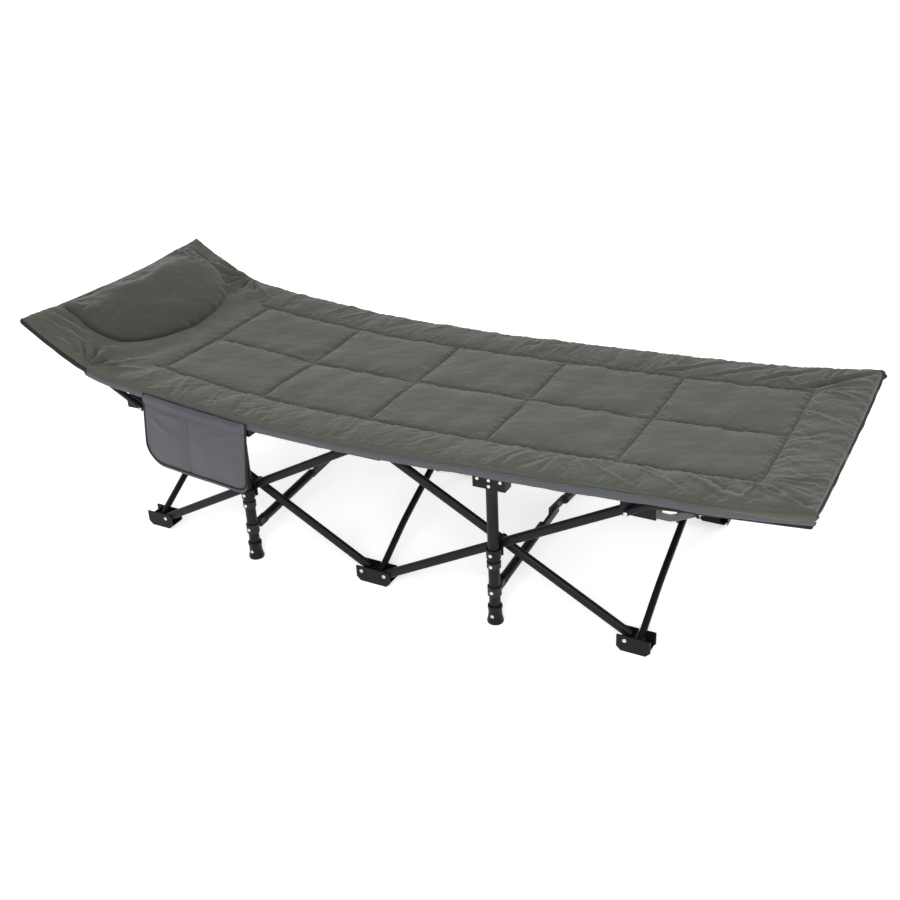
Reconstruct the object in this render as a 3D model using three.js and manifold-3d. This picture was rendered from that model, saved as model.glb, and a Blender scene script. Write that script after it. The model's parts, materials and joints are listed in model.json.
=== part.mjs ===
// Folding camp cot: a quilted fabric deck on a steel frame that folds like an umbrella,
// by scissor pairs along both sides and across the frame at the foot stations.
// Millimetres. +X towards the foot end, +Y towards the far side, +Z up, floor at z = 0.
import * as THREE from 'three';
import { mergeVertices } from 'three/addons/utils/BufferGeometryUtils.js';
import Module from 'manifold-3d';

const wasm = await Module();
wasm.setup();

// ---- Driving dimensions --------------------------------------------------------------
const MID_X = -17.5;           // middle foot station, so that the whole cot is centred on x = 0
const SPAN = 580;              // horizontal run of every scissor arm, pivot to pivot
const PIVOT_Y = 290;           // half distance between the pivots of a cross scissor
const FOOT_PIVOT_Z = 27;
const TOP_PIVOT_Z = 342;
const MID_PIVOT_X = 30;        // side arm pivots each side of the middle station
const END_PIVOT_X = MID_PIVOT_X + SPAN;
const STATION = 646;           // end foot stations, measured from the middle one
const LEG_X = 320;             // vertical legs stand where the side arms cross
const LEG_Y = 320;
const ARM = { tall: 20, deep: 15, layer: 8.5 };   // side arm section; two layers side by side
const BEND_AT = 0.22;          // share of a cross arm's length where it bends
const CROSS = { size: 15, layer: 9, drop: 8, bend: 9 };   // drop: its pivots sit below the side pivots
const PIN_R = 4;
const PIN_HOLE_R = 4.6;
const PIN_HEAD = { r: 9, long: 4 };
const LEG_R = 12.5;
const BRACE = { r: 11, z: 82, rise: 25, tipLong: 70, tipDeep: 8, tipIn: 2, tipOver: 12 };
const FORK = { gap: 3.4, out: 8, back: 6.5, reach: 24, half: 9, pin: 2.9 };
const POLE = { y: 318, tall: 14, deep: 13, boss: 7, headTipX: -921, footTipX: 955, footTipZ: 397.2 };
const POLE_BEND = { x: 655, z: 370.5 };   // a foot pole rises to the hem, then runs along it
const DECK = { half: 336, headHalf: 308, thick: 18, headSplitX: -614, footSplitX: 664 };
const POCKET = { x0: -575, x1: -285, z0: 188, z1: 361, out: 353, in: 338, wall: 3, corner: 35 };
const PILLOW = { long: 204, half: 245, thick: 50, fromTip: 12, lift: 9, roll: 12, crown: 8 };
const GAP = 0.3;

const RISE = TOP_PIVOT_Z - FOOT_PIVOT_Z;
const SLOPE = Math.atan2(RISE, SPAN);
const ARM_LENGTH = Math.hypot(SPAN, RISE);
const CROSS_Z = (FOOT_PIVOT_Z + TOP_PIVOT_Z) / 2;
const JOINT_Z = CROSS_Z - CROSS.drop;
const ARM_Y = PIVOT_Y - 4;     // middle of the two arm layers

// ---- Colours --------------------------------------------------------------------------
const finish = (color, roughness, metalness = 0) =>
  new THREE.MeshStandardMaterial({ color, roughness, metalness });
const STEEL = finish(0x2e2f31, 0.45, 0.6);
const PLASTIC = finish(0x1f2022, 0.5);
const FABRIC = finish(0x5d6059, 0.95);
const BAND = finish(0x484b50, 0.9);

// ---- Small tools ----------------------------------------------------------------------
const solid = (geometry) => {
  const g = geometry.clone();
  g.deleteAttribute('normal');
  g.deleteAttribute('uv');
  const m = mergeVertices(g, 1e-4);
  return new wasm.Manifold(new wasm.Mesh({
    numProp: 3,
    vertProperties: new Float32Array(m.attributes.position.array),
    triVerts: new Uint32Array(m.index.array),
  }));
};

const geometryOf = (manifold) => {
  const mesh = manifold.getMesh();
  const g = new THREE.BufferGeometry();
  g.setAttribute('position', new THREE.BufferAttribute(mesh.vertProperties, 3));
  g.setIndex(new THREE.BufferAttribute(mesh.triVerts, 1));
  g.computeVertexNormals();
  return g;
};

const ordered = (a, b) => (a < b ? [a, b] : [b, a]);

const box = (x0, x1, y0, y1, z0, z1) =>
  new THREE.BoxGeometry(x1 - x0, y1 - y0, z1 - z0)
    .translate((x0 + x1) / 2, (y0 + y1) / 2, (z0 + z1) / 2);

// A rod along X, Y or Z, from one end to the other.
const rod = (axis, radius, from, to, [a, b], sides = 16) => {
  const g = new THREE.CylinderGeometry(radius, radius, to - from, sides);
  const mid = (from + to) / 2;
  if (axis === 'x') return g.rotateZ(Math.PI / 2).translate(mid, a, b);
  if (axis === 'y') return g.translate(a, mid, b);
  return g.rotateX(Math.PI / 2).translate(a, b, mid);
};

const cut = (base, ...tools) => tools.reduce((m, g) => m.subtract(solid(g)), base);
const join = (base, ...more) => more.reduce((m, g) => m.add(solid(g)), base);

const cot = new THREE.Group();
cot.position.x = MID_X;

// side = -1 near, +1 far. A part of the far side is the near one mirrored in y.
const mirrored = (manifold, side) => (side < 0 ? manifold : manifold.mirror([0, 1, 0]));
const place = (name, manifold, material, side = -1) => {
  const mesh = new THREE.Mesh(geometryOf(mirrored(manifold, side)), material);
  mesh.name = name;
  cot.add(mesh);
};
const SIDES = [['near', -1], ['far', 1]];

// ---- Scissor arms ---------------------------------------------------------------------
// A flat-sided bar with round ends, drawn along X from its first pivot, with pivot holes. Each kink
// is a place along the bar and how far it is set off the straight line there.
const bar = (length, tall, deep, holes, kinks = []) => {
  const r = tall / 2;
  const outline = new THREE.Shape();
  outline.absarc(0, 0, r, Math.PI / 2, Math.PI * 1.5, false);
  for (const [x, offset] of kinks) outline.lineTo(x, offset - r);
  outline.absarc(length, 0, r, -Math.PI / 2, Math.PI / 2, false);
  for (const [x, offset] of [...kinks].reverse()) outline.lineTo(x, offset + r);
  for (const at of holes) {
    const hole = new THREE.Path();
    hole.absarc(at, 0, PIN_HOLE_R, 0, Math.PI * 2, true);
    outline.holes.push(hole);
  }
  return new THREE.ExtrudeGeometry(outline, { depth: deep, bevelEnabled: false, curveSegments: 6 })
    .translate(0, 0, -deep / 2);
};

// A side arm from its foot pivot, rising towards way (+1 foot end, -1 head end).
const sideArm = (footX, way, layerY) =>
  bar(ARM_LENGTH, ARM.tall, ARM.deep, [0, ARM_LENGTH / 2, ARM_LENGTH])
    .rotateX(Math.PI / 2)
    .rotateY(way > 0 ? -SLOPE : -(Math.PI - SLOPE))
    .translate(footX, layerY, FOOT_PIVOT_Z);

const OUTER_Y = -(ARM_Y + ARM.layer);
const INNER_Y = -(ARM_Y - ARM.layer);
for (const [label, side] of SIDES) {
  place(`side_arm_head_outer_${label}`, solid(sideArm(-END_PIVOT_X, 1, OUTER_Y)), STEEL, side);
  place(`side_arm_head_inner_${label}`, solid(sideArm(-MID_PIVOT_X, -1, INNER_Y)), STEEL, side);
  place(`side_arm_foot_outer_${label}`, solid(sideArm(MID_PIVOT_X, 1, OUTER_Y)), STEEL, side);
  place(`side_arm_foot_inner_${label}`, solid(sideArm(END_PIVOT_X, -1, INNER_Y)), STEEL, side);
}

// ---- Cross scissors -------------------------------------------------------------------
// The rising arm starts at the near foot; its partner is the same arm turned round.
const CROSS_KINKS = [[BEND_AT * ARM_LENGTH, CROSS.bend], [(1 - BEND_AT) * ARM_LENGTH, -CROSS.bend]];
const crossArm = (stationX, layer) =>
  bar(ARM_LENGTH, CROSS.size, CROSS.size, [0, ARM_LENGTH / 2, ARM_LENGTH], CROSS_KINKS)
    .rotateX(Math.PI / 2)
    .rotateY(-SLOPE)
    .rotateZ(Math.PI / 2)
    .translate(stationX + layer, -PIVOT_Y, FOOT_PIVOT_Z - CROSS.drop);

const STATIONS = [['head', -STATION], ['middle', 0], ['foot', STATION]];
const SLEEVE = { deep: 8, long: 50, tall: 22, head: 5 };
for (const [label, x] of STATIONS) {
  const out = x > 0 ? -1 : 1;
  place(`cross_arm_${label}_a`, solid(crossArm(x, out * CROSS.layer)), STEEL);
  place(`cross_arm_${label}_b`, mirrored(solid(crossArm(x, -out * CROSS.layer)), 1), STEEL);
  // The centre joint: a sleeve plate on the outside of arm a, with the pin through both arms.
  const outside = out * (CROSS.layer + CROSS.size / 2 + GAP);
  const plate = new THREE.BoxGeometry(SLEEVE.deep, SLEEVE.long, SLEEVE.tall).rotateX(SLOPE)
    .translate(x + outside + out * SLEEVE.deep / 2, 0, JOINT_Z);
  const headEnd = x - outside - out * SLEEVE.head;
  const pin = rod('x', PIN_R, ...ordered(x + outside + out * 2, headEnd), [0, JOINT_Z]);
  const head = rod('x', PIN_HEAD.r, ...ordered(x - outside, headEnd), [0, JOINT_Z]);
  place(`cross_joint_${label}`, join(solid(plate), pin, head), PLASTIC);
}

// ---- Foot and top brackets ------------------------------------------------------------
// Channels with a floor or roof plate and two cheeks. Pins run between the cheeks for the side
// arms; a third pin, along x, carries the cross arm, which leaves through a slot in the cheek.
const BRACKET = { half: 44, cheek: 3.5, plate: 6, tall: 38, endOut: 20, endIn: 18, web: 1.5,
  below: 12, above: 19, chamfer: 7 };
const ARM_ROOM = ARM.layer + ARM.deep / 2 + GAP;
const CHANNEL = { out: ARM_Y + ARM_ROOM, in: ARM_Y - ARM_ROOM };
const CROSS_SLOT = CROSS.size / 2 + 4 * GAP;
const CROSS_PIN_R = 3.8;

const bracket = (x0, x1, pivotXs, crossX, top) => {
  const yOut = -(CHANNEL.out + BRACKET.cheek);
  const yIn = -(CHANNEL.in - BRACKET.cheek);
  const z0 = top ? TOP_PIVOT_Z - BRACKET.below : 0;
  const z1 = top ? TOP_PIVOT_Z + BRACKET.above : BRACKET.tall;
  const hollow0 = top ? z0 - 1 : BRACKET.plate;
  const hollow1 = top ? z1 - BRACKET.plate : z1 + 1;
  const pivotZ = top ? TOP_PIVOT_Z : FOOT_PIVOT_Z;
  let m = solid(box(x0, x1, yOut, yIn, z0, z1));
  m = cut(m, box(x0 - 1, x1 + 1, -CHANNEL.out, -CHANNEL.in, hollow0, hollow1));
  const slot0 = crossX - CROSS_SLOT;
  const slot1 = crossX + CROSS_SLOT;
  m = cut(m, box(slot0, slot1, -CHANNEL.in - 1, yIn + 1, hollow0, hollow1));
  if (!top) {
    const wedge = (x) => box(-BRACKET.chamfer, BRACKET.chamfer, yOut - 1, yIn + 1,
      -BRACKET.chamfer, BRACKET.chamfer).rotateY(Math.PI / 4).translate(x, 0, 0);
    m = cut(m, wedge(x0), wedge(x1));
  }
  const pins = pivotXs.map((x) =>
    rod('y', PIN_R, -CHANNEL.out - 1, -CHANNEL.in + 1, [x, pivotZ], 12));
  const webs = [slot0 - BRACKET.web, slot1].map((x) =>
    box(x, x + BRACKET.web, -CHANNEL.out - 1, -CHANNEL.in + 1, z0, z1));
  const crossPin = rod('x', CROSS_PIN_R, slot0 - 1, slot1 + 1, [-PIVOT_Y, pivotZ - CROSS.drop], 12);
  return join(m, ...webs, ...pins, crossPin);
};

const layerAt = (x, top) => (x > 0 ? -1 : 1) * (top ? -1 : 1) * CROSS.layer;
for (const [label, side] of SIDES) {
  for (const top of [false, true]) {
    const kind = top ? 'top_bracket' : 'foot_bracket';
    for (const [where, x] of STATIONS) {
      // Arm a rises from the near foot to the far top, so the layers swap on the far side.
      const layer = side < 0 ? layerAt(x, top) : layerAt(x, !top);
      const outward = Math.sign(x);
      const inner = outward * (END_PIVOT_X - BRACKET.endIn);
      const outer = outward * (STATION + BRACKET.endOut);
      const [x0, x1] = x === 0 ? [-BRACKET.half, BRACKET.half]
        : [Math.min(inner, outer), Math.max(inner, outer)];
      const pivots = x === 0 ? [-MID_PIVOT_X, MID_PIVOT_X] : [outward * END_PIVOT_X];
      place(`${kind}_${where}_${label}`, bracket(x0, x1, pivots, x + layer, top), PLASTIC, side);
    }
  }
}

// ---- Legs -----------------------------------------------------------------------------
const HUB = { z: 176, half: 11, wall: 3.6, plateHalf: 15, plateUp: 12 };
const LEG = { bottom: 6, top: 350, ring: 3, collarZ: 148, collarHalf: 8, bandHalf: 12 };
const CAP = { base: 17.5, flare: 18.5, flareZ: 5, neck: 16, neckZ: 24, top: 45, floor: 5.7 };
const EAR = { out: 15, beyond: 8, half: 3, tall: 9, hole: 3.4 };   // out: the brace pivot, off the leg
const LEG_TOP = { half: 37, out: 13.6, in: 16, z0: 336, z1: 364 };
for (const [label, side] of SIDES) {
  for (const [where, x] of [['head', -LEG_X], ['foot', LEG_X]]) {
    const at = [x, -LEG_Y];
    const hubRing = rod('z', LEG_R + HUB.wall, HUB.z - HUB.half, HUB.z + HUB.half, at);
    const yRing = -LEG_Y + LEG_R;
    const yOuterFace = OUTER_Y - ARM.deep / 2 - GAP;
    const plate = box(x - HUB.plateHalf, x + HUB.plateHalf, yRing, yOuterFace,
      HUB.z - HUB.half, CROSS_Z + HUB.plateUp);
    let hub = join(solid(hubRing), plate);
    hub = cut(hub, rod('z', LEG_R + GAP, 0, LEG.top, at));
    const yInnerFace = INNER_Y + ARM.deep / 2 + GAP;
    hub = join(hub, rod('y', PIN_R, yOuterFace - 1, yInnerFace + 3, [x, CROSS_Z], 12),
      rod('y', PIN_HEAD.r, yInnerFace, yInnerFace + PIN_HEAD.long, [x, CROSS_Z], 16));
    place(`leg_hub_${where}_${label}`, hub, PLASTIC, side);

    // The leg tube carries its stop collar and the band that the brace hinges on.
    const ear = box(x - EAR.half, x + EAR.half, yRing - 1, yRing + EAR.out + EAR.beyond,
      BRACE.z - EAR.tall, BRACE.z + EAR.tall);
    const ringR = LEG_R + LEG.ring;
    const leg = join(solid(rod('z', LEG_R, LEG.bottom, LEG.top, at)),
      rod('z', ringR, LEG.collarZ - LEG.collarHalf, LEG.collarZ + LEG.collarHalf, at),
      rod('z', ringR, BRACE.z - LEG.bandHalf, BRACE.z + LEG.bandHalf, at), ear);
    const earHole = rod('x', EAR.hole, x - EAR.half - 1, x + EAR.half + 1, [yRing + EAR.out, BRACE.z], 12);
    place(`leg_${where}_${label}`, cut(leg, earHole), STEEL, side);

    const bore = LEG_R + GAP;
    const profile = [[0, 0], [CAP.base, 0], [CAP.flare, CAP.flareZ], [CAP.neck, CAP.neckZ],
      [CAP.neck, CAP.top], [bore, CAP.top], [bore, CAP.floor], [0, CAP.floor]]
      .map(([r, z]) => new THREE.Vector2(r, z));
    const cap = new THREE.LatheGeometry(profile, 24).rotateX(Math.PI / 2).translate(...at, 0);
    place(`leg_cap_${where}_${label}`, solid(cap), PLASTIC, side);

    const topBlock = box(x - LEG_TOP.half, x + LEG_TOP.half, -LEG_Y - LEG_TOP.out, -LEG_Y + LEG_TOP.in,
      LEG_TOP.z0, LEG_TOP.z1);
    place(`leg_top_${where}_${label}`,
      cut(solid(topBlock), rod('z', bore, LEG_TOP.z0 - 1, LEG.top + GAP, at)), PLASTIC, side);
  }
}

// ---- Cross braces between the legs ----------------------------------------------------
// Each half hinges on a leg's band and ends in a flattened tip, lapped with the other half's.
const BRACE_PIVOT_Y = -LEG_Y + LEG_R + EAR.out;
const BRACE_LENGTH = Math.hypot(BRACE_PIVOT_Y, BRACE.rise);
const braceHalf = (x, turn) => {
  const tipStart = BRACE_LENGTH - BRACE.tipLong;
  const tipHalf = BRACE.r - BRACE.tipIn;
  const tube = solid(rod('y', BRACE.r, FORK.reach - 10, tipStart + 5, [0, 0]));
  const tip = box(GAP, GAP + BRACE.tipDeep, tipStart, BRACE_LENGTH + BRACE.tipOver, -tipHalf, tipHalf);
  const fork = [[FORK.gap, FORK.out], [-FORK.out, -FORK.gap]].map(([x0, x1]) =>
    box(x0, x1, -FORK.back, FORK.reach, -FORK.half, FORK.half));
  const slope = new THREE.Matrix4().makeRotationX(Math.atan2(BRACE.rise, -BRACE_PIVOT_Y));
  const pin = rod('x', FORK.pin, -FORK.gap - 1, FORK.gap + 1, [0, 0], 12);
  const body = join(tube, tip, ...fork, pin);
  const g = geometryOf(body).applyMatrix4(slope).translate(0, BRACE_PIVOT_Y, BRACE.z);
  if (turn) g.rotateZ(Math.PI);
  return solid(g.translate(x, 0, 0));
};
for (const [where, x] of [['head', -LEG_X], ['foot', LEG_X]]) {
  place(`cross_brace_${where}_near`, braceHalf(x, false), STEEL);
  place(`cross_brace_${where}_far`, braceHalf(x, true), STEEL);
}

// ---- Deck poles -----------------------------------------------------------------------
// Each runs in the hem of the deck, from the pivot of an end top bracket to a corner, outside the
// bracket, and turns with the arm that rises to that pivot. A head pole is in line with its arm.
const pole = (pivotX, tipX, tipZ, bends = []) => {
  const line = new THREE.Vector2(tipX - pivotX, tipZ - TOP_PIVOT_Z);
  const along = line.clone().normalize();
  const kinks = bends.map(({ x, z }) => {
    const from = new THREE.Vector2(x - pivotX, z - TOP_PIVOT_Z);
    return [from.dot(along), along.cross(from)];
  });
  const shaft = bar(line.length(), POLE.tall, POLE.deep, [], kinks)
    .rotateX(Math.PI / 2).rotateY(-line.angle()).translate(pivotX, -POLE.y, TOP_PIVOT_Z);
  const cheek = -(CHANNEL.out + BRACKET.cheek) - GAP;
  return join(solid(shaft), rod('y', POLE.boss, -POLE.y, cheek, [pivotX, TOP_PIVOT_Z], 12));
};
const headTipZ = TOP_PIVOT_Z + (-END_PIVOT_X - POLE.headTipX) * Math.tan(SLOPE);
for (const [label, side] of SIDES) {
  place(`head_pole_${label}`, pole(-END_PIVOT_X, POLE.headTipX, headTipZ), STEEL, side);
  place(`foot_pole_${label}`, pole(END_PIVOT_X, POLE.footTipX, POLE.footTipZ, [POLE_BEND]), STEEL, side);
}

// ---- Deck -----------------------------------------------------------------------------
// A padded sheet of one thickness, drawn by the heights of its top along the cot.
const deckSlab = (tops, y0, y1) => {
  const outline = new THREE.Shape();
  tops.forEach(([x, z], i) => (i ? outline.lineTo(x, z) : outline.moveTo(x, z)));
  [...tops].reverse().forEach(([x, z]) => outline.lineTo(x, z - DECK.thick));
  return solid(new THREE.ExtrudeGeometry(outline, { depth: y1 - y0, bevelEnabled: false })
    .rotateX(Math.PI / 2).translate(0, y1, 0));
};
const headTops = [[-932, 540], [-735, 430], [DECK.headSplitX - 1, 404]];
const mainTops = [[DECK.headSplitX, 404], [-323, 383], [0, 380], [259, 383], [550, 390],
  [DECK.footSplitX, 397]];
const footTops = [[DECK.footSplitX + 1, 397], [841, 414], [967, 424]];
place('deck_head', deckSlab(headTops, -DECK.headHalf, DECK.headHalf), FABRIC);
place('deck_main_near', deckSlab(mainTops, -DECK.half, -0.5), FABRIC);
place('deck_main_far', deckSlab(mainTops, 0.5, DECK.half), FABRIC);
place('deck_foot', deckSlab(footTops, -DECK.half, DECK.half), FABRIC);

// ---- Pillow ---------------------------------------------------------------------------
// A half ellipse on the head panel, its straight side along the head end.
const [tip, fold] = headTops;
const headAngle = Math.atan2(fold[1] - tip[1], fold[0] - tip[0]);
const pillowShape = new THREE.Shape();
pillowShape.absellipse(0, 0, PILLOW.long, PILLOW.half, -Math.PI / 2, Math.PI / 2, false);
const pillow = new THREE.ExtrudeGeometry(pillowShape, {
  depth: PILLOW.thick - 2 * PILLOW.crown,
  curveSegments: 10,
  bevelEnabled: true,
  bevelSize: PILLOW.roll,
  bevelOffset: -PILLOW.roll,
  bevelThickness: PILLOW.crown,
  bevelSegments: 2,
}).translate(PILLOW.fromTip, 0, PILLOW.lift).rotateY(-headAngle).translate(tip[0], 0, tip[1]);
place('pillow', solid(pillow), FABRIC);

// ---- Side pocket ----------------------------------------------------------------------
// A flat pouch with rounded lower corners, open along the top.
const pouch = (grow, y0, y1, z1) => {
  const { x0, x1, z0, corner } = POCKET;
  const outline = new THREE.Shape();
  outline.moveTo(x0 - grow, z1);
  outline.lineTo(x0 - grow, z0 + corner);
  outline.absarc(x0 + corner, z0 + corner, corner + grow, Math.PI, Math.PI * 1.5, false);
  outline.absarc(x1 - corner, z0 + corner, corner + grow, Math.PI * 1.5, Math.PI * 2, false);
  outline.lineTo(x1 + grow, z1);
  const options = { depth: y1 - y0, bevelEnabled: false, curveSegments: 5 };
  return new THREE.ExtrudeGeometry(outline, options).rotateX(Math.PI / 2).translate(0, y1, 0);
};
place('side_pocket', cut(solid(pouch(0, -POCKET.out, -POCKET.in, POCKET.z1)),
  pouch(-POCKET.wall, -POCKET.out + POCKET.wall, -POCKET.in - POCKET.wall, POCKET.z1 + 1)), BAND);

export default cot;
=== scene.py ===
"""Folding camp cot: materials, sewn deck, pillow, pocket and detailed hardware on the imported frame."""
import json
import math

import bmesh
import bpy
import numpy as np
from mathutils import Matrix, Vector


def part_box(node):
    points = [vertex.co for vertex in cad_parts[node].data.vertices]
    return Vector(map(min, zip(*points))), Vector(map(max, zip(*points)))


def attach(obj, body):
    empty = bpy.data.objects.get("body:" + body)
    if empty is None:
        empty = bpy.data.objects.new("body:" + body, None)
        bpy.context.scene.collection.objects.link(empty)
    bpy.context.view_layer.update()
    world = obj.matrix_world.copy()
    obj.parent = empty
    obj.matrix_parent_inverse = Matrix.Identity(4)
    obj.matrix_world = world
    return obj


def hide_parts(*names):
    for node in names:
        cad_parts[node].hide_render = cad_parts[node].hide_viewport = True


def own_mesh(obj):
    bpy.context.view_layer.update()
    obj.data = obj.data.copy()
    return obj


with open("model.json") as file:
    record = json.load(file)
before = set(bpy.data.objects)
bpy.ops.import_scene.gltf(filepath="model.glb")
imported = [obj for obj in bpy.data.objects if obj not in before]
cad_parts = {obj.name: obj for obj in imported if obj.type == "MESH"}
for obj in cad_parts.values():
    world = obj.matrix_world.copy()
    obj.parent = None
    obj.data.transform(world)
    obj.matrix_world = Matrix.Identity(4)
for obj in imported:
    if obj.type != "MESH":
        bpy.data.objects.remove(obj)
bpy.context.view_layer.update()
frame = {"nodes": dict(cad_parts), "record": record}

# ---- Dimensions, in metres -----------------------------------------------------------------
MID_X = -0.0175                 # middle foot station
DECK_HALF = 0.336
SEAM_Y = 0.22                   # border seam, each side of the centre seam
SEAM_FIRST = -0.614             # cross seams, from the middle station
SEAM_PITCH = 0.291
SEAM_COUNT = 6
FOLD_X = -0.755                 # where the head panel starts to rise
HEAD_X, FOOT_X = -0.936, 0.967
SPLIT_HEAD, SPLIT_FOOT = SEAM_FIRST, 0.664
PAD = 0.013                     # thickness of the quilted deck
CELL = 0.0070                   # cloth grid

SIDES = (("near", -1), ("far", 1))


# ---- Materials -----------------------------------------------------------------------------
class Nodes:
    """A short way to write a procedural material."""

    def __init__(self, name):
        self.mat = bpy.data.materials.new(name)
        self.mat.use_nodes = True
        self.tree = self.mat.node_tree
        self.shader = self.tree.nodes["Principled BSDF"]
        self.place = self.add("ShaderNodeTexCoord").outputs["Object"]

    def add(self, kind, **values):
        node = self.tree.nodes.new(kind)
        for key, value in values.items():
            if hasattr(node, key):
                setattr(node, key, value)
            else:
                node.inputs[key.replace("_", " ").title()].default_value = value
        return node

    def link(self, a, b):
        self.tree.links.new(a, b)

    def noise(self, scale, detail=3.0, stretch=None, roughness=0.55):
        node = self.add("ShaderNodeTexNoise", Scale=scale, Detail=detail, Roughness=roughness)
        source = self.place
        if stretch:
            mapping = self.add("ShaderNodeMapping", Scale=stretch)
            self.link(source, mapping.inputs["Vector"])
            source = mapping.outputs["Vector"]
        self.link(source, node.inputs["Vector"])
        return node.outputs["Fac"]

    def waves(self, scale, direction):
        node = self.add("ShaderNodeTexWave", Scale=scale, bands_direction=direction, Distortion=0.6,
                        Detail_Scale=2.0)
        self.link(self.place, node.inputs["Vector"])
        return node.outputs["Fac"]

    def math(self, operation, a, b):
        node = self.add("ShaderNodeMath", operation=operation)
        for socket, value in zip(node.inputs, (a, b)):
            self.feed(socket, value)
        return node.outputs[0]

    def spread(self, value, low, high, first=0.25, last=0.75):
        """Maps first..last to low..high, held at both ends."""
        node = self.add("ShaderNodeMapRange", From_Min=first, From_Max=last, To_Min=low, To_Max=high)
        self.link(value, node.inputs["Value"])
        return node.outputs[0]

    def feed(self, socket, value):
        """Sets a socket to a number or a colour, or links another socket to it."""
        if isinstance(value, (int, float)):
            socket.default_value = value
        elif isinstance(value, tuple):
            socket.default_value = (*value, 1.0)
        else:
            self.link(value, socket)

    def mix(self, amount, a, b):
        node = self.add("ShaderNodeMix", data_type="RGBA")
        for number, value in ((0, amount), (6, a), (7, b)):
            self.feed(node.inputs[number], value)
        return node.outputs[2]

    def attribute(self, name):
        return self.add("ShaderNodeAttribute", attribute_name=name).outputs["Fac"]

    def bump(self, *layers):
        """Layers of (height, strength, distance), the coarsest first."""
        normal = None
        for height, strength, distance in layers:
            node = self.add("ShaderNodeBump", Strength=strength, Distance=distance)
            self.link(height, node.inputs["Height"])
            if normal:
                self.link(normal, node.inputs["Normal"])
            normal = node.outputs["Normal"]
        self.link(normal, self.shader.inputs["Normal"])

    def finish(self, colour, roughness, **fixed):
        self.feed(self.shader.inputs["Base Color"], colour)
        self.feed(self.shader.inputs["Roughness"], roughness)
        for key, value in fixed.items():
            self.shader.inputs[key.replace("_", " ")].default_value = value
        return self.mat


CREASE_SHADE = 0.52             # how dark the painted shade makes the cloth in a sewn groove
ROUGH_CLOTH = 0.92


def scaled(colour, k):
    return tuple(c * k for c in colour)


def cloth_material(name, colour, thread=900.0, patch=0.22, sheen=0.25):
    """Brushed woven polyester: threads both ways, a heathered colour and soft brushed patches."""
    m = Nodes(name)
    weave = m.math("MAXIMUM", m.waves(thread, "X"), m.waves(thread, "Y"))
    heather = m.noise(700.0, 4.0, (1.0, 3.0, 1.0))
    brushed = m.noise(26.0, 6.0, (1.0, 2.4, 1.0), 0.68)
    broad = m.noise(4.5, 3.0)
    tone = m.mix(m.spread(brushed, 0.0, 1.0), scaled(colour, 1 - patch), scaled(colour, 1 + patch))
    tone = m.mix(m.spread(heather, 0.0, 0.5), tone, scaled(colour, 1.55))
    tone = m.mix(m.spread(broad, 0.0, 0.35), tone, scaled(colour, 0.78))
    # Painted shade: the cloth is darkened in its seams, hollows and rims, by the amount stored per point.
    tone = m.mix(m.attribute("painted_shade"), tone, scaled(colour, CREASE_SHADE))
    m.bump((brushed, 0.25, 0.0016), (heather, 0.30, 0.0005), (weave, 0.35, 0.0003))
    return m.finish(tone, m.spread(brushed, ROUGH_CLOTH - 0.05, ROUGH_CLOTH + 0.05),
                    Sheen_Weight=sheen, Sheen_Roughness=0.45, Specular_IOR_Level=0.25)


def coated_material(name, colour):
    """Smooth coated polyester with a fine plain weave and a dull shine."""
    m = Nodes(name)
    weave = m.math("MULTIPLY", m.waves(1100.0, "X"), m.waves(1100.0, "Z"))
    cloud = m.noise(14.0, 4.0)
    fine = m.noise(420.0, 3.0)
    tone = m.mix(m.spread(cloud, 0.0, 1.0), scaled(colour, 0.86), scaled(colour, 1.16))
    tone = m.mix(m.spread(fine, 0.0, 0.3), tone, scaled(colour, 1.4))
    # Painted shade: darker along sewn lines and rolled rims, by the amount stored per point.
    tone = m.mix(m.attribute("painted_shade"), tone, scaled(colour, 0.35))
    m.bump((cloud, 0.30, 0.0025), (fine, 0.2, 0.0004), (weave, 0.3, 0.0003))
    return m.finish(tone, m.spread(cloud, 0.34, 0.52), Specular_IOR_Level=0.60)


def powder_coat():
    m = Nodes("powder_coat_charcoal")
    orange_peel = m.noise(900.0, 2.0)
    cloud = m.noise(30.0, 4.0)
    base = (0.0042, 0.0044, 0.0048)
    tone = m.mix(m.spread(cloud, 0.0, 1.0), scaled(base, 0.8), scaled(base, 1.35))
    # Sharp convex edges are made lighter, in noisy patches.
    edge = m.spread(m.add("ShaderNodeNewGeometry").outputs["Pointiness"], 0.0, 1.0, 0.53, 0.62)
    lighter_edges = m.math("MULTIPLY", edge, m.noise(120.0, 5.0))
    tone = m.mix(lighter_edges, tone, (0.05, 0.05, 0.052))
    m.bump((orange_peel, 0.16, 0.0004))
    return m.finish(tone, m.spread(cloud, 0.36, 0.48), Specular_IOR_Level=0.17)


def moulded_plastic():
    m = Nodes("moulded_black_plastic")
    grain = m.noise(1300.0, 2.0)
    cloud = m.noise(45.0, 5.0)
    base = (0.0032, 0.0032, 0.0034)
    tone = m.mix(m.spread(cloud, 0.0, 1.0), scaled(base, 0.8), scaled(base, 1.5))
    m.bump((cloud, 0.12, 0.0006), (grain, 0.28, 0.0003))
    return m.finish(tone, m.spread(cloud, 0.36, 0.50), Specular_IOR_Level=0.17)


def rivet_steel():
    m = Nodes("rivet_zinc_steel")
    grain = m.noise(600.0, 4.0, (1.0, 1.0, 6.0))
    tone = m.mix(m.spread(grain, 0.0, 1.0), (0.46, 0.46, 0.47), (0.72, 0.72, 0.73))
    m.bump((grain, 0.15, 0.0002))
    return m.finish(tone, m.spread(grain, 0.24, 0.40), Metallic=1.0)


def thread_material(name, colour):
    m = Nodes(name)
    twist = m.noise(1500.0, 2.0)
    m.bump((twist, 0.4, 0.0002))
    return m.finish(m.mix(m.spread(twist, 0.0, 1.0), scaled(colour, 0.7), scaled(colour, 1.3)), 0.85)


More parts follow.
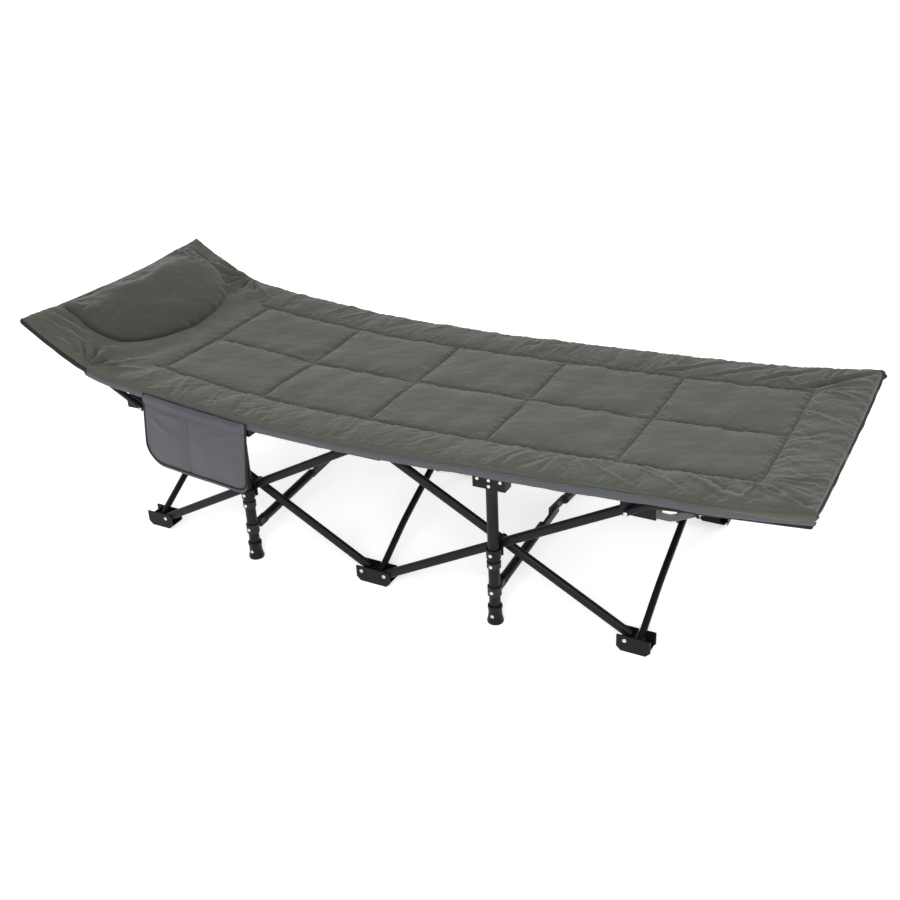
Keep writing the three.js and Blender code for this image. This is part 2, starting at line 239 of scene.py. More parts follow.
DECK_CLOTH = cloth_material("brushed_olive_grey", (0.060, 0.066, 0.051))
PILLOW_CLOTH = cloth_material("brushed_dark_grey", (0.048, 0.052, 0.042))
UNDER_CLOTH = coated_material("underside_cloth", (0.022, 0.023, 0.025))
BAND_CLOTH = coated_material("band_blue_grey", (0.027, 0.030, 0.038))
POCKET_CLOTH = coated_material("pocket_blue_grey", (0.029, 0.032, 0.040))
BINDING = cloth_material("binding_tape", (0.014, 0.015, 0.0145), 1500.0, 0.15, 0.06)
THREAD = thread_material("sewing_thread", (0.050, 0.054, 0.043))
STEEL = powder_coat()
PLASTIC = moulded_plastic()
RIVET = rivet_steel()


# ---- Mesh helpers --------------------------------------------------------------------------
def placed(name, data):
    obj = bpy.data.objects.new(name, data)
    bpy.context.scene.collection.objects.link(obj)
    return obj


def box_of(node):
    """The low and high corners of a CAD node."""
    low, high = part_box(node)
    return Vector(low), Vector(high)


def add_object(name, verts, faces, materials, face_slots=None, normals=None):
    mesh = bpy.data.meshes.new(name)
    mesh.from_pydata([tuple(v) for v in verts], [], [tuple(f) for f in faces])
    for mat in materials if isinstance(materials, (list, tuple)) else [materials]:
        mesh.materials.append(mat)
    if face_slots is not None:
        mesh.polygons.foreach_set("material_index", np.asarray(face_slots, dtype=np.int32))
    mesh.shade_smooth()
    mesh.validate()
    if normals is not None:
        mesh.normals_split_custom_set_from_vertices([tuple(n) for n in normals])
    return placed(name, mesh)


def from_bmesh(name, bm, material):
    bmesh.ops.recalc_face_normals(bm, faces=bm.faces)
    mesh = bpy.data.meshes.new(name)
    bm.to_mesh(mesh)
    bm.free()
    mesh.materials.append(material)
    mesh.shade_smooth()
    return placed(name, mesh)


# Stores the amount of painted shade per point, which darkens the cloth at seams, hollows and rims.
def store_painted_shade(obj, values):
    layer = obj.data.attributes.new("painted_shade", "FLOAT", "POINT")
    layer.data.foreach_set("value", np.asarray(values, dtype=np.float32))


def sharpen(obj, degrees):
    """Smooth shading with hard edges where the faces turn sharply."""
    bm = bmesh.new()
    bm.from_mesh(obj.data)
    limit = math.radians(degrees)
    for edge in bm.edges:
        if len(edge.link_faces) == 2:
            edge.smooth = edge.calc_face_angle(0) < limit
    bm.to_mesh(obj.data)
    bm.free()


def revolve(bm, profile, matrix, steps=40):
    """Turns (radius, height) points about Z, closed on the axis at both ends."""
    rings = []
    for r, z in profile:
        if r < 1e-9:
            rings.append([bm.verts.new(matrix @ Vector((0, 0, z)))])
            continue
        turn = [2 * math.pi * k / steps for k in range(steps)]
        rings.append([bm.verts.new(matrix @ Vector((r * math.cos(a), r * math.sin(a), z))) for a in turn])
    for low, high in zip(rings, rings[1:]):
        for k in range(steps):
            quad = [low[k % len(low)], low[(k + 1) % len(low)],
                    high[(k + 1) % len(high)], high[k % len(high)]]
            corners = list(dict.fromkeys(quad))
            if len(corners) > 2:
                bm.faces.new(corners)


def rounded_bar(bm, start, end, tall, deep, radius):
    """A bar with round ends and rolled edges, between two pivots, lying in an upright plane."""
    along = (end - start).normalized()
    side = along.cross(Vector((0, 0, 1))).normalized()
    rise = side.cross(along).normalized()
    steps = 8
    rings = []
    arc = [math.pi / 2 * k / 5 for k in range(6)]
    profile = [(radius * (1 - math.sin(a)), -deep / 2 + radius * (1 - math.cos(a))) for a in arc]
    profile += [(inset, -depth) for inset, depth in reversed(profile)]
    for inset, depth in profile:
        r = tall / 2 - inset
        ring = []
        for centre, first in ((end, -math.pi / 2), (start, math.pi / 2)):
            for k in range(steps + 1):
                a = first + math.pi * k / steps
                ring.append(bm.verts.new(centre + along * (r * math.cos(a)) + rise * (r * math.sin(a))
                                         + side * depth))
        rings.append(ring)
    count = len(rings[0])
    for low, high in zip(rings, rings[1:]):
        for k in range(count):
            bm.faces.new((low[k], low[(k + 1) % count], high[(k + 1) % count], high[k]))
    bm.faces.new(rings[0][::-1])
    bm.faces.new(rings[-1])


def facing(point, direction):
    """A matrix that puts local Z along direction, at point."""
    return Matrix.Translation(point) @ Vector(direction).to_track_quat("Z", "Y").to_matrix().to_4x4()


def rivet_head(bm, point, direction, radius):
    height = 0.0024
    dome = [(0, -0.001), (radius, -0.001), (radius, height * 0.25)]
    for k in range(1, 6):
        a = math.pi / 2 * k / 6
        dome.append((radius * math.cos(a), height * (0.25 + 0.75 * math.sin(a))))
    dome.append((radius * 0.24, height * 0.92))
    dome.append((0, height * 0.80))
    revolve(bm, dome, facing(point, direction), 20)


def rivets(name, node, places, radius=0.0045):
    """Rivet heads as one piece on a CAD node's body. places: (point, outward direction)."""
    bm = bmesh.new()
    for point, direction in places:
        rivet_head(bm, Vector(point), direction, radius)
    obj = from_bmesh(name, bm, RIVET)
    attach(obj, BODY_OF[node])


def stand_in(name, bm, material, sharp, node):
    """A detailed piece in place of a CAD node, on the same body."""
    obj = from_bmesh(name, bm, material)
    sharpen(obj, sharp)
    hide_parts(node)
    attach(obj, BODY_OF[node])


def bake(obj):
    """Applies the modifiers of a piece to its mesh."""
    shown = obj.evaluated_get(bpy.context.evaluated_depsgraph_get())
    mesh = bpy.data.meshes.new_from_object(shown)
    obj.modifiers.clear()
    obj.data = mesh


BODY_OF = {node: body for body, nodes in frame["record"]["behaviour"]["bodies"].items() for node in nodes}


# ---- Scissor arms, braces and poles --------------------------------------------------------
ARM_TALL, ARM_DEEP, ARM_CORNER = 0.020, 0.015, 0.0055
BAR_SHARP = 50                  # degrees


def side_arm(node, rising):
    low, high = box_of(node)
    inset = ARM_TALL / 2
    y = (low[1] + high[1]) / 2
    z0, z1 = low[2] + inset, high[2] - inset
    if not rising:
        z0, z1 = z1, z0
    bm = bmesh.new()
    start, end = Vector((low[0] + inset, y, z0)), Vector((high[0] - inset, y, z1))
    rounded_bar(bm, start, end, ARM_TALL, ARM_DEEP, ARM_CORNER)
    stand_in(node + "_tube", bm, STEEL, BAR_SHARP, node)


POLE_TALL, POLE_DEEP, POLE_CORNER = 0.014, 0.013, 0.005
POLE_BOSS = ((0, 0), (0.0069, 0), (0.0069, 0.0110), (0.0062, 0.0118), (0, 0.0118))
CROSS_BEND = 0.009              # a cross arm is set off its pivot line by this much
CROSS_BEND_AT = 0.22            # share of its length
CROSS_FOOT_Z, CROSS_TOP_Z = 0.019, 0.334
CROSS_SIZE, CROSS_CORNER = 0.015, 0.0062


def swept_bar(bm, points, side, wide, tall, corner):
    """A bar with rolled edges and round ends along points, which lie in the plane across side."""
    points = [Vector(p) for p in points]
    side = Vector(side)
    ring = []
    for cu, cv, start in ((1, 1, 0), (-1, 1, 90), (-1, -1, 180), (1, -1, 270)):
        for k in range(5):
            a = math.radians(start + 90 * k / 4)
            ring.append((cu * (wide / 2 - corner) + corner * math.cos(a),
                         cv * (tall / 2 - corner) + corner * math.sin(a)))
    first = (points[1] - points[0]).normalized()
    last = (points[-1] - points[-2]).normalized()
    turns = [math.pi / 2 * k / 6 for k in range(7)]
    places = [(points[0] - first * tall / 2 * math.cos(a), first, max(0.03, math.sin(a)))
              for a in turns[:-1]]
    for before, here, after in zip([points[0]] + points, points, points[1:] + [points[-1]]):
        places.append((here, (after - before).normalized(), 1.0))
    places += [(points[-1] + last * tall / 2 * math.sin(a), last, max(0.03, math.cos(a)))
               for a in turns[1:]]
    rows = []
    for centre, way, size in places:
        rise = way.cross(side).normalized()
        rows.append([bm.verts.new(centre + side * u + rise * (v * size)) for u, v in ring])
    for a, b in zip(rows, rows[1:]):
        for k in range(len(ring)):
            following = (k + 1) % len(ring)
            bm.faces.new((a[k], a[following], b[following], b[k]))
    bm.faces.new(rows[0][::-1])
    bm.faces.new(rows[-1])


def rounded_path(marks, steps=12, passes=3):
    """Points along marks, with the corners eased."""
    marks = np.array(marks, float)
    path = [a + (b - a) * k / steps for a, b in zip(marks, marks[1:]) for k in range(steps)]
    path = np.array(path + [marks[-1]])
    for _ in range(passes):
        path[1:-1] = (path[:-2] + 2 * path[1:-1] + path[2:]) / 4
    return path


def bent_arm(node, rising):
    """A cross arm: up near its lower end, down near its upper end."""
    low, high = box_of(node)
    half = CROSS_SIZE / 2
    mid_x = (low[0] + high[0]) / 2
    y0, y1 = low[1] + half, high[1] - half
    if not rising:
        y0, y1 = y1, y0
    first, last = Vector((mid_x, y0, CROSS_FOOT_Z)), Vector((mid_x, y1, CROSS_TOP_Z))
    way = (last - first).normalized()
    lift = Vector((0, -way[2], way[1])) * (1 if way[1] > 0 else -1)
    run = (last - first).length
    marks = [first + way * (run * t) + lift * o for t, o in
             ((0, 0), (CROSS_BEND_AT, CROSS_BEND), (1 - CROSS_BEND_AT, -CROSS_BEND), (1, 0))]
    bm = bmesh.new()
    swept_bar(bm, rounded_path(marks), (1, 0, 0), CROSS_SIZE, CROSS_SIZE, CROSS_CORNER)
    stand_in(node + "_tube", bm, STEEL, BAR_SHARP, node)


PIN_X, PIN_Z = 0.610, 0.342     # pivot of an end top bracket
POLE_PATHS = {
    "head": ((-PIN_X, PIN_Z), (-0.921, 0.5109)),
    "foot": ((PIN_X, PIN_Z), (0.655, 0.3705), (0.955, 0.3972)),
}
STATIONS = ("head", "middle", "foot")


def pole(half, side, sign):
    node = f"{half}_pole_{side}"
    low, high = box_of(node)
    y = low[1] + POLE_DEEP / 2 if sign < 0 else high[1] - POLE_DEEP / 2
    marks = [Vector((x + MID_X, y, z)) for x, z in POLE_PATHS[half]]
    bm = bmesh.new()
    swept_bar(bm, rounded_path(marks, 14, 6), (0, 1, 0), POLE_DEEP, POLE_TALL, POLE_CORNER)
    revolve(bm, POLE_BOSS, facing(marks[0], (0, -sign, 0)), 24)
    stand_in(node + "_tube", bm, STEEL, BAR_SHARP, node)
    rivets(f"{half}_pole_rivet_{side}", node,
           [(marks[0] + Vector((0, sign * POLE_DEEP / 2, 0)), (0, sign, 0))])


for side, sign in SIDES:
    for half in ("head", "foot"):
        for layer, rising in (("outer", True), ("inner", False)):
            side_arm(f"side_arm_{half}_{layer}_{side}", rising)
    for half in ("head", "foot"):
        pole(half, side, sign)

for station in STATIONS:
    for which, rising in (("a", True), ("b", False)):
        bent_arm(f"cross_arm_{station}_{which}", rising)


# ---- Brackets ------------------------------------------------------------------------------
def bevelled(node, width, material, segments=3):
    """Keeps a CAD node's shape, with its edges rolled."""
    obj = frame["nodes"][node]
    for slot in obj.material_slots:
        slot.material = material
    if not obj.material_slots:
        obj.data.materials.append(material)
    bevel = obj.modifiers.new("rolled_edges", "BEVEL")
    bevel.width = width
    bevel.segments = segments
    bevel.limit_method = "ANGLE"
    bevel.angle_limit = math.radians(40)
    bevel.harden_normals = True


BRACKET_PIN = {"foot_bracket": 0.027, "top_bracket": 0.012}     # height of the pins above its bottom
ARM_PIVOT_INSET = {"middle": (0.014, 0.014), "head": (None, 0.018), "foot": (0.018, None)}
BRACKET_RIVET, SMALL_RIVET, TOP_RIVET = 0.0048, 0.0042, 0.0040


def bracket(kind, station, side, sign):
    """Rivets at each arm's pivot, on both faces."""
    node = f"{kind}_{station}_{side}"
    bevelled(node, 0.0011, PLASTIC)
    low, high = box_of(node)
    z = low[2] + BRACKET_PIN[kind]
    outer_y, inner_y = (low[1], high[1]) if sign < 0 else (high[1], low[1])
    left, right = ARM_PIVOT_INSET[station]
    xs = [low[0] + left] if left else []
    xs += [high[0] - right] if right else []
    places = [((x, outer_y, z), (0, sign, 0)) for x in xs]
    places += [((x, inner_y, z), (0, -sign, 0)) for x in xs]
    rivets(f"{node}_rivets", node, places, BRACKET_RIVET)


for side, sign in SIDES:
    for kind in BRACKET_PIN:
        for station in STATIONS:
            bracket(kind, station, side, sign)

for station in STATIONS:
    node = f"cross_joint_{station}"
    bevelled(node, 0.0009, PLASTIC)
    low, high = box_of(node)
    mid = (low + high) / 2
    ends = [((high[0], mid[1], mid[2]), (1, 0, 0)), ((low[0], mid[1], mid[2]), (-1, 0, 0))]
    rivets(f"{node}_rivets", node, ends[::-1] if station == "foot" else ends, SMALL_RIVET)


# ---- Legs ----------------------------------------------------------------------------------
LEG_R, LEG_LOW = 0.0125, 0.006
BAND_Z, COLLAR_Z = 0.082, 0.148         # brace band and stop collar
RING_GROW, RING_EDGE = 0.003, 0.001
EAR_X, EAR_Z, EAR_OUT = 0.006, 0.018, 0.015
HUB_PIN_Z, HUB_SCREW_Z = 0.1845, 0.176
CAP_PROFILE = ((0, 0), (0.0165, 0), (0.0180, 0.0008), (0.0186, 0.0030), (0.0182, 0.0065), (0.0168, 0.0120),
               (0.0156, 0.0180), (0.0152, 0.0230), (0.0151, 0.0320), (0.0153, 0.0345), (0.0162, 0.0362),
               (0.0163, 0.0425), (0.0157, 0.0444), (0.0146, 0.0450), (0.0128, 0.0450), (0.0128, 0.0300),
               (0, 0.0300))


def leg_tube(node, centre, stand, sign, pivot_y):
    """The tube with its two rings, and the ear that holds a brace."""
    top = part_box(node)[1][2] - 0.001
    tube = [(0, LEG_LOW), (LEG_R, LEG_LOW)]
    ring_r = LEG_R + RING_GROW
    for z, half in ((BAND_Z, 0.012), (COLLAR_Z, 0.008)):
        rise = [(LEG_R, half + 0.0002), (ring_r - RING_EDGE, half), (ring_r, half - RING_EDGE)]
        tube += [(r, z - h) for r, h in rise] + [(r, z + h) for r, h in reversed(rise)]
    bm = bmesh.new()
    revolve(bm, tube + [(LEG_R, top), (0, top)], stand, 48)
    y0, y1 = centre[1] - sign * (LEG_R - 0.001), pivot_y - sign * 0.008
    for v in bmesh.ops.create_cube(bm, size=1.0)["verts"]:
        v.co = Vector((centre[0] + v.co.x * EAR_X, (y0 + y1) / 2 + v.co.y * abs(y1 - y0),
                       BAND_Z + v.co.z * EAR_Z))
    stand_in(f"{node}_tube", bm, STEEL, 40, node)


def leg_set(where, side, sign):
    leg, cap, block, hub = (f"{kind}_{where}_{side}" for kind in ("leg", "leg_cap", "leg_top", "leg_hub"))
    low, high = box_of(cap)
    centre = (low + high) / 2
    x, y = centre[:2]
    stand = Matrix.Translation((x, y, 0))
    pivot_y = y - sign * (LEG_R + EAR_OUT)
    out = (0, sign, 0)
    leg_tube(leg, centre, stand, sign, pivot_y)

    bm = bmesh.new()
    revolve(bm, CAP_PROFILE, stand, 48)
    stand_in(f"{cap}_moulded", bm, PLASTIC, 40, cap)
    ring_y = y + sign * (LEG_R + RING_GROW)
    rivets(f"leg_rivets_{where}_{side}", leg,
           [((x, y + sign * 0.0154, 0.021), out), ((x, ring_y, BAND_Z), out), ((x, ring_y, COLLAR_Z), out),
            ((x + EAR_X / 2, pivot_y, BAND_Z), (1, 0, 0)), ((x - EAR_X / 2, pivot_y, BAND_Z), (-1, 0, 0))],
           SMALL_RIVET)

    bevelled(block, 0.0022, PLASTIC)
    low, high = box_of(block)
    face = low[1] if sign < 0 else high[1]
    mid_x, inset = (low[0] + high[0]) / 2, 0.007
    spots = [(mid_x + dx, high[2] - inset) for dx in (-0.026, 0.0, 0.026)] + [(mid_x, low[2] + inset)]
    rivets(f"leg_top_rivets_{where}_{side}", leg, [((px, face, pz), out) for px, pz in spots], TOP_RIVET)

    bevelled(hub, 0.0009, PLASTIC)
    low, high = box_of(hub)
    inner = high[1] if sign < 0 else low[1]
    rivets(f"leg_hub_rivets_{where}_{side}", hub,
           [((x, inner, HUB_PIN_Z), (0, -sign, 0)), ((x, y + sign * (LEG_R + 0.0036), HUB_SCREW_Z), out)],
           SMALL_RIVET)
    bevelled(f"cross_brace_{where}_{side}", 0.0008, STEEL, 2)


for side, sign in SIDES:
    for where in ("head", "foot"):
        leg_set(where, side, sign)


# ---- Deck: one quilted surface, simulated whole, then cut where the frame folds ------------
PROFILE = ((HEAD_X, 0.522), (-0.855, 0.474), (FOLD_X, 0.424), (-0.690, 0.409), (SPLIT_HEAD, 0.401),
           (-0.323, 0.380), (-0.032, 0.377), (0.259, 0.383), (0.550, 0.390), (0.700, 0.397),
           (0.841, 0.407), (FOOT_X, 0.424))
EDGE_LIFT = (0.012, 0.009)      # the long edges are drawn up by the frame: at the ends, and far side
EDGE_ROLL = 0.010
PUFF = 0.0075                   # most that the filling lifts the cloth
GROOVE = 0.0030
PANEL_CALM, BORDER_CALM = 0.88, 0.36    # how far small wrinkles are smoothed away
HEM_DROP = 0.006                # the head panel's hem is deeper where it wraps the pole
SEAM_X = [SEAM_FIRST + SEAM_PITCH * k for k in range(SEAM_COUNT)]


def smooth_step(value, low, high):
    t = np.clip((value - low) / (high - low), 0, 1)
    return t * t * (3 - 2 * t)


def deck_base(x, y):
    """Height of the deck without its filling: a smooth curve through PROFILE, lifted at the edges."""
    px, pz = np.array(PROFILE).T
    slope = np.gradient(pz, px)
    k = np.clip(np.searchsorted(px, x) - 1, 0, len(px) - 2)
    h = px[k + 1] - px[k]
    t = np.clip((x - px[k]) / h, 0, 1)
    height = ((2 * t**3 - 3 * t**2 + 1) * pz[k] + (t**3 - 2 * t**2 + t) * h * slope[k]
              + (3 * t**2 - 2 * t**3) * pz[k + 1] + (t**3 - t**2) * h * slope[k + 1])
    ends = smooth_step(np.abs(x), 0.1, 0.7)
    lift = np.where(y < 0, EDGE_LIFT[0] * ends, EDGE_LIFT[1] + EDGE_LIFT[0] * 0.5 * ends)
    return height + lift * (y / DECK_HALF) ** 2


def wander(x, y, wave, seed):
    """Smooth noise from a few turned sines, between about -1 and 1."""
    rng = np.random.default_rng(seed)
    total = np.zeros(np.broadcast(x, y).shape)
    for _ in range(7):
        angle, phase = rng.uniform(0, 2 * np.pi, 2)
        k = 2 * np.pi / (wave * rng.uniform(0.7, 1.5))
        total = total + np.sin(k * (np.cos(angle) * x + np.sin(angle) * y) + phase)
    return total / 3.2


def seam_distance(x, y):
    """Distance to the nearest sewn line of the quilting."""
    past_y = np.maximum(0, np.abs(y) - SEAM_Y)
    found = [np.hypot(x - sx, past_y) for sx in SEAM_X]
    found.append(np.hypot(y, np.maximum(0, np.maximum(SEAM_X[0] - x, x - SEAM_X[-1]))))
    past_x = np.maximum(0, np.maximum(SEAM_X[0] - 0.02 - x, x - SEAM_X[-1]))
    found += [np.hypot(y - sy, past_x) for sy in (-SEAM_Y, SEAM_Y)]
    return np.minimum.reduce(found)


def fold_line(x, y, start, end, width, height):
    """A ridge of cloth (or a crease, where height is below 0) from start to end, fading at both."""
    ax, ay = start
    bx, by = end
    run = math.hypot(bx - ax, by - ay)
    ux, uy = (bx - ax) / run, (by - ay) / run
    along = ((x - ax) * ux + (y - ay) * uy) / run
    across = (y - ay) * ux - (x - ax) * uy
    across = across + 0.10 * run * np.sin(math.pi * np.clip(along, 0, 1)) * ((ax * 97 + ay * 31) % 1 - 0.5)
    fade = smooth_step(along, -0.05, 0.25) * (1 - smooth_step(along, 0.6, 1.1))
    near = across / (width * (0.6 + 0.6 * np.clip(along, 0, 1)))
    return height * fade * np.exp(-near ** 2)


PULLED_FOLDS = ((0.0062, 0.0050), (0.0040, 0.0032), (0.0026, 0.0022), (0.0034, 0.0026))     # ridge, hollow
KNEE_FOLDS = (                  # reach, angle, width, height; where the head starts to rise
    (0.11, 168, 0.008, 0.0060), (0.15, 148, 0.008, 0.0062), (0.14, 126, 0.007, 0.0058),
    (0.12, 100, 0.007, 0.0052), (0.16, 62, 0.008, 0.0040), (0.14, 36, 0.008, 0.0050),
    (0.09, 138, 0.006, -0.0070), (0.09, 113, 0.006, -0.0095), (0.08, 82, 0.006, -0.0070),
    (0.09, 50, 0.006, -0.0040))
CORNER_FOLDS = (0.0040, -0.0034, 0.0036, -0.0026, 0.0028, 0.0018)


def creases(x, y):
    """The pulled folds of the borders, fans at the corners, and crumples where the head rises."""
    rng = np.random.default_rng(23)
    total = np.zeros(x.shape)
    for side in (-1, 1):
        corner_x, corner_y = SEAM_X[-1], side * SEAM_Y
        for k in range(9):
            angle = math.radians(-24 + 15 * k + rng.uniform(-5, 5)) * side
            reach = rng.uniform(0.10, 0.17)
            start = (corner_x + 0.012 * math.cos(angle), corner_y + 0.012 * math.sin(angle))
            end = (corner_x + reach * math.cos(angle), corner_y + reach * math.sin(angle))
            total += fold_line(x, y, start, end, 0.0055, rng.uniform(0.0018, 0.0046))
        for k in range(34):
            at = rng.uniform(FOLD_X, SEAM_X[-1])
            lean = rng.uniform(-0.10, 0.10)
            start = (at, side * (SEAM_Y + rng.uniform(0.0, 0.03)))
            end = (at + lean, side * (DECK_HALF + 0.01))
            height = rng.choice((-1, 1)) * rng.uniform(0.0010, 0.0026)
            total += fold_line(x, y, start, end, rng.uniform(0.004, 0.009), height)
        for k, (ridge, hollow) in enumerate(PULLED_FOLDS):
            at = SEAM_X[-1] - 0.04 - 0.11 * k
            total += fold_line(x, y, (at, side * 0.232), (at + 0.15, side * 0.322), 0.008, ridge)
            total += fold_line(x, y, (at + 0.012, side * 0.228), (at + 0.17, side * 0.322), 0.007, -hollow)
    for k in range(13):
        across = -0.20 + 0.40 * k / 12 + rng.uniform(-0.016, 0.016)
        start = (SEAM_X[-1] + rng.uniform(0.004, 0.045), across)
        end = (FOOT_X - rng.uniform(0.005, 0.050), across + rng.uniform(-0.120, 0.045))
        total += fold_line(x, y, start, end, rng.uniform(0.0045, 0.0090),
                           rng.choice((-1, 1, 1)) * rng.uniform(0.0008, 0.0026))
    for side in (-1, 1):
        knee = (FOLD_X + 0.004, side * 0.335)
        for reach, angle, width, height in KNEE_FOLDS:
            turn = math.radians(angle)
            end = (knee[0] + reach * math.cos(turn), knee[1] - side * reach * math.sin(turn))
            total += fold_line(x, y, knee, end, width, height)
        for k, height in enumerate(CORNER_FOLDS):
            start = (HEAD_X + 0.004 + 0.006 * k, side * (0.238 + 0.014 * k))
            end = (-0.845 + 0.012 * k, side * (0.215 + 0.012 * k))
            total += fold_line(x, y, start, end, 0.005, height)
    return total


def run_cloth(name, verts, faces, pins, pressure, frames, shrink, bending):
    """Inflates a closed mesh with Blender's cloth and returns where its points end."""
    obj = add_object(name, verts, faces, DECK_CLOTH)
    group = obj.vertex_groups.new(name="pin")
    group.add([int(i) for i in np.flatnonzero(pins)], 1.0, "REPLACE")
    cloth = obj.modifiers.new("cloth", "CLOTH")
    settings = cloth.settings
    settings.quality = 6
    settings.mass = 0.25
    settings.tension_stiffness = settings.compression_stiffness = 18
    settings.shear_stiffness = 8
    settings.bending_stiffness = bending
    settings.air_damping = 3
    settings.vertex_group_mass = "pin"
    settings.use_pressure = True
    settings.uniform_pressure_force = pressure
    settings.shrink_min = shrink
    settings.effector_weights.gravity = 0
    cloth.collision_settings.use_collision = False
    scene = bpy.context.scene
    cloth.point_cache.frame_start = 1
    cloth.point_cache.frame_end = frames
    for frame_number in range(1, frames + 1):
        scene.frame_set(frame_number)
    held = obj.evaluated_get(bpy.context.evaluated_depsgraph_get())
    result = np.empty(len(verts) * 3)
    held.data.vertices.foreach_get("co", result)
    scene.frame_set(1)
    bpy.data.objects.remove(obj)
    return result.reshape(-1, 3)


def grid_faces(nx, ny, offset=0, flip=False):
    i, j = np.meshgrid(np.arange(nx - 1), np.arange(ny - 1), indexing="ij")
    a = (i * ny + j).ravel() + offset
    quads = np.stack([a, a + ny, a + ny + 1, a + 1], 1)
    return quads[:, ::-1] if flip else quads


def rim_loop(nx, ny):
    """The points round the outside of a grid, in order."""
    loop = [i * ny for i in range(nx)] + [(nx - 1) * ny + j for j in range(1, ny)]
    return loop + [i * ny + ny - 1 for i in range(nx - 2, -1, -1)] + list(range(ny - 2, 0, -1))


def band_faces(first, second):
    """Quads between two closed rows of points."""
    pairs = list(zip(first, second))
    return [(a, b, d, c) for (a, b), (c, d) in zip(pairs, pairs[1:] + pairs[:1])]


def blurred(grid, passes):
    """A grid of values, each averaged with its neighbours that many times."""
    for _ in range(passes):
        for axis in (0, 1):
            g = np.moveaxis(grid, axis, 0).copy()
            g[1:-1] = (g[:-2] + 2 * g[1:-1] + g[2:]) / 4
            grid = np.moveaxis(g, 0, axis)
    return grid


def stations(stops, cell):
    """Grid lines that fall on every stop, about cell apart."""
    rows = [np.linspace(a, b, max(1, round((b - a) / cell)), endpoint=False)
            for a, b in zip(stops, stops[1:])]
    return np.concatenate(rows + [[stops[-1]]])


def refine(grid):
    """Doubles a grid's lines both ways, with a smooth curve through its points."""
    for axis in (0, 1):
        g = np.moveaxis(grid, axis, 0)
        padded = np.concatenate([2 * g[:1] - g[1:2], g, 2 * g[-1:] - g[-2:-1]])
        between = (9 * (padded[1:-2] + padded[2:-1]) - padded[:-3] - padded[3:]) / 16
        out = np.empty((2 * len(g) - 1, *g.shape[1:]))
        out[::2] = g
        out[1::2] = between
        grid = np.moveaxis(out, 0, axis)
    return grid


def deck_top():
    """The deck's upper surface after simulation, as an array of points in the station frame."""
    xs = stations([HEAD_X, FOLD_X, *SEAM_X[:-1], SPLIT_FOOT, SEAM_X[-1], FOOT_X], CELL)
    ys = stations([-DECK_HALF, -SEAM_Y, 0, SEAM_Y, DECK_HALF], CELL)
    x, y = np.meshgrid(xs, ys, indexing="ij")
    top = np.stack([x, y, deck_base(x, y)], -1)
    gap = seam_distance(x, y)
    nx, ny = x.shape
    rng = np.random.default_rng(11)
    start = top.copy()
    start[..., 2] += 0.0012 * wander(x, y, 0.06, 3) + 0.0006 * rng.standard_normal(x.shape)
    pinned = gap < CELL * 0.3
    pinned[[0, -1], :] = True
    pinned[:, [0, -1]] = True
    start[pinned] = top[pinned]
    under = top.reshape(-1, 3) - (0, 0, 0.010)
    faces = np.concatenate([grid_faces(nx, ny), grid_faces(nx, ny, nx * ny, True)])
    loop = rim_loop(nx, ny)
    rim = [(a, a + nx * ny, b + nx * ny, b) for a, b in zip(loop, loop[1:] + loop[:1])]
    faces = np.concatenate([faces, rim])
    pins = np.concatenate([pinned.ravel(), np.ones(nx * ny, bool)])
    done = run_cloth("deck_cloth", np.concatenate([start.reshape(-1, 3), under]), faces, pins,
                     1.1, 14, -0.022, 0.4)
    moved = done[: nx * ny].reshape(nx, ny, 3) - top
    length = np.linalg.norm(moved, axis=-1, keepdims=True)
    moved *= PUFF * np.tanh(length / PUFF) / np.maximum(length, 1e-9)
    calm = blurred(moved, 6)
    quilted = smooth_step(SEAM_Y - np.abs(y), -0.01, 0.02) * smooth_step(SEAM_X[-1] - x, -0.01, 0.02)
    share = (PANEL_CALM * quilted + BORDER_CALM * (1 - quilted)) * smooth_step(gap, 0, 0.02)
    moved += (calm - moved) * share[..., None]
    fine = refine(top + moved)
    flat = refine(top)
    x, y = flat[..., 0], flat[..., 1]
    gap = seam_distance(x, y)
    clear = smooth_step(gap, 0.0, 0.02)
    rim = np.minimum(DECK_HALF - np.abs(y), np.minimum(x - HEAD_X, FOOT_X - x))
    fine[..., 2] += creases(x, y) * clear * smooth_step(rim, -0.004, 0.012)
    fine[..., 2] += 0.0012 * wander(x, y, 0.16, 8) + 0.0002 * wander(x, y, 0.035, 9) * clear
    fine[..., 2] -= GROOVE * np.exp(-(gap / 0.0045) ** 2)
    pucker = np.sin(2 * np.pi * (x + y) / 0.021 + 2.0 * wander(x, y, 0.09, 5))
    fine[..., 2] += 0.0004 * pucker * smooth_step(gap, 0.003, 0.010) * (1 - smooth_step(gap, 0.012, 0.030))
    inside = np.clip(1 - rim / EDGE_ROLL, 0, 1)
    fine[..., 2] -= EDGE_ROLL * 0.6 * (1 - np.sqrt(1 - inside ** 2))
    return fine, flat


def surface_normals(points):
    u = np.gradient(points, axis=0)
    v = np.gradient(points, axis=1)
    normal = np.cross(u, v)
    return normal / np.linalg.norm(normal, axis=-1, keepdims=True)


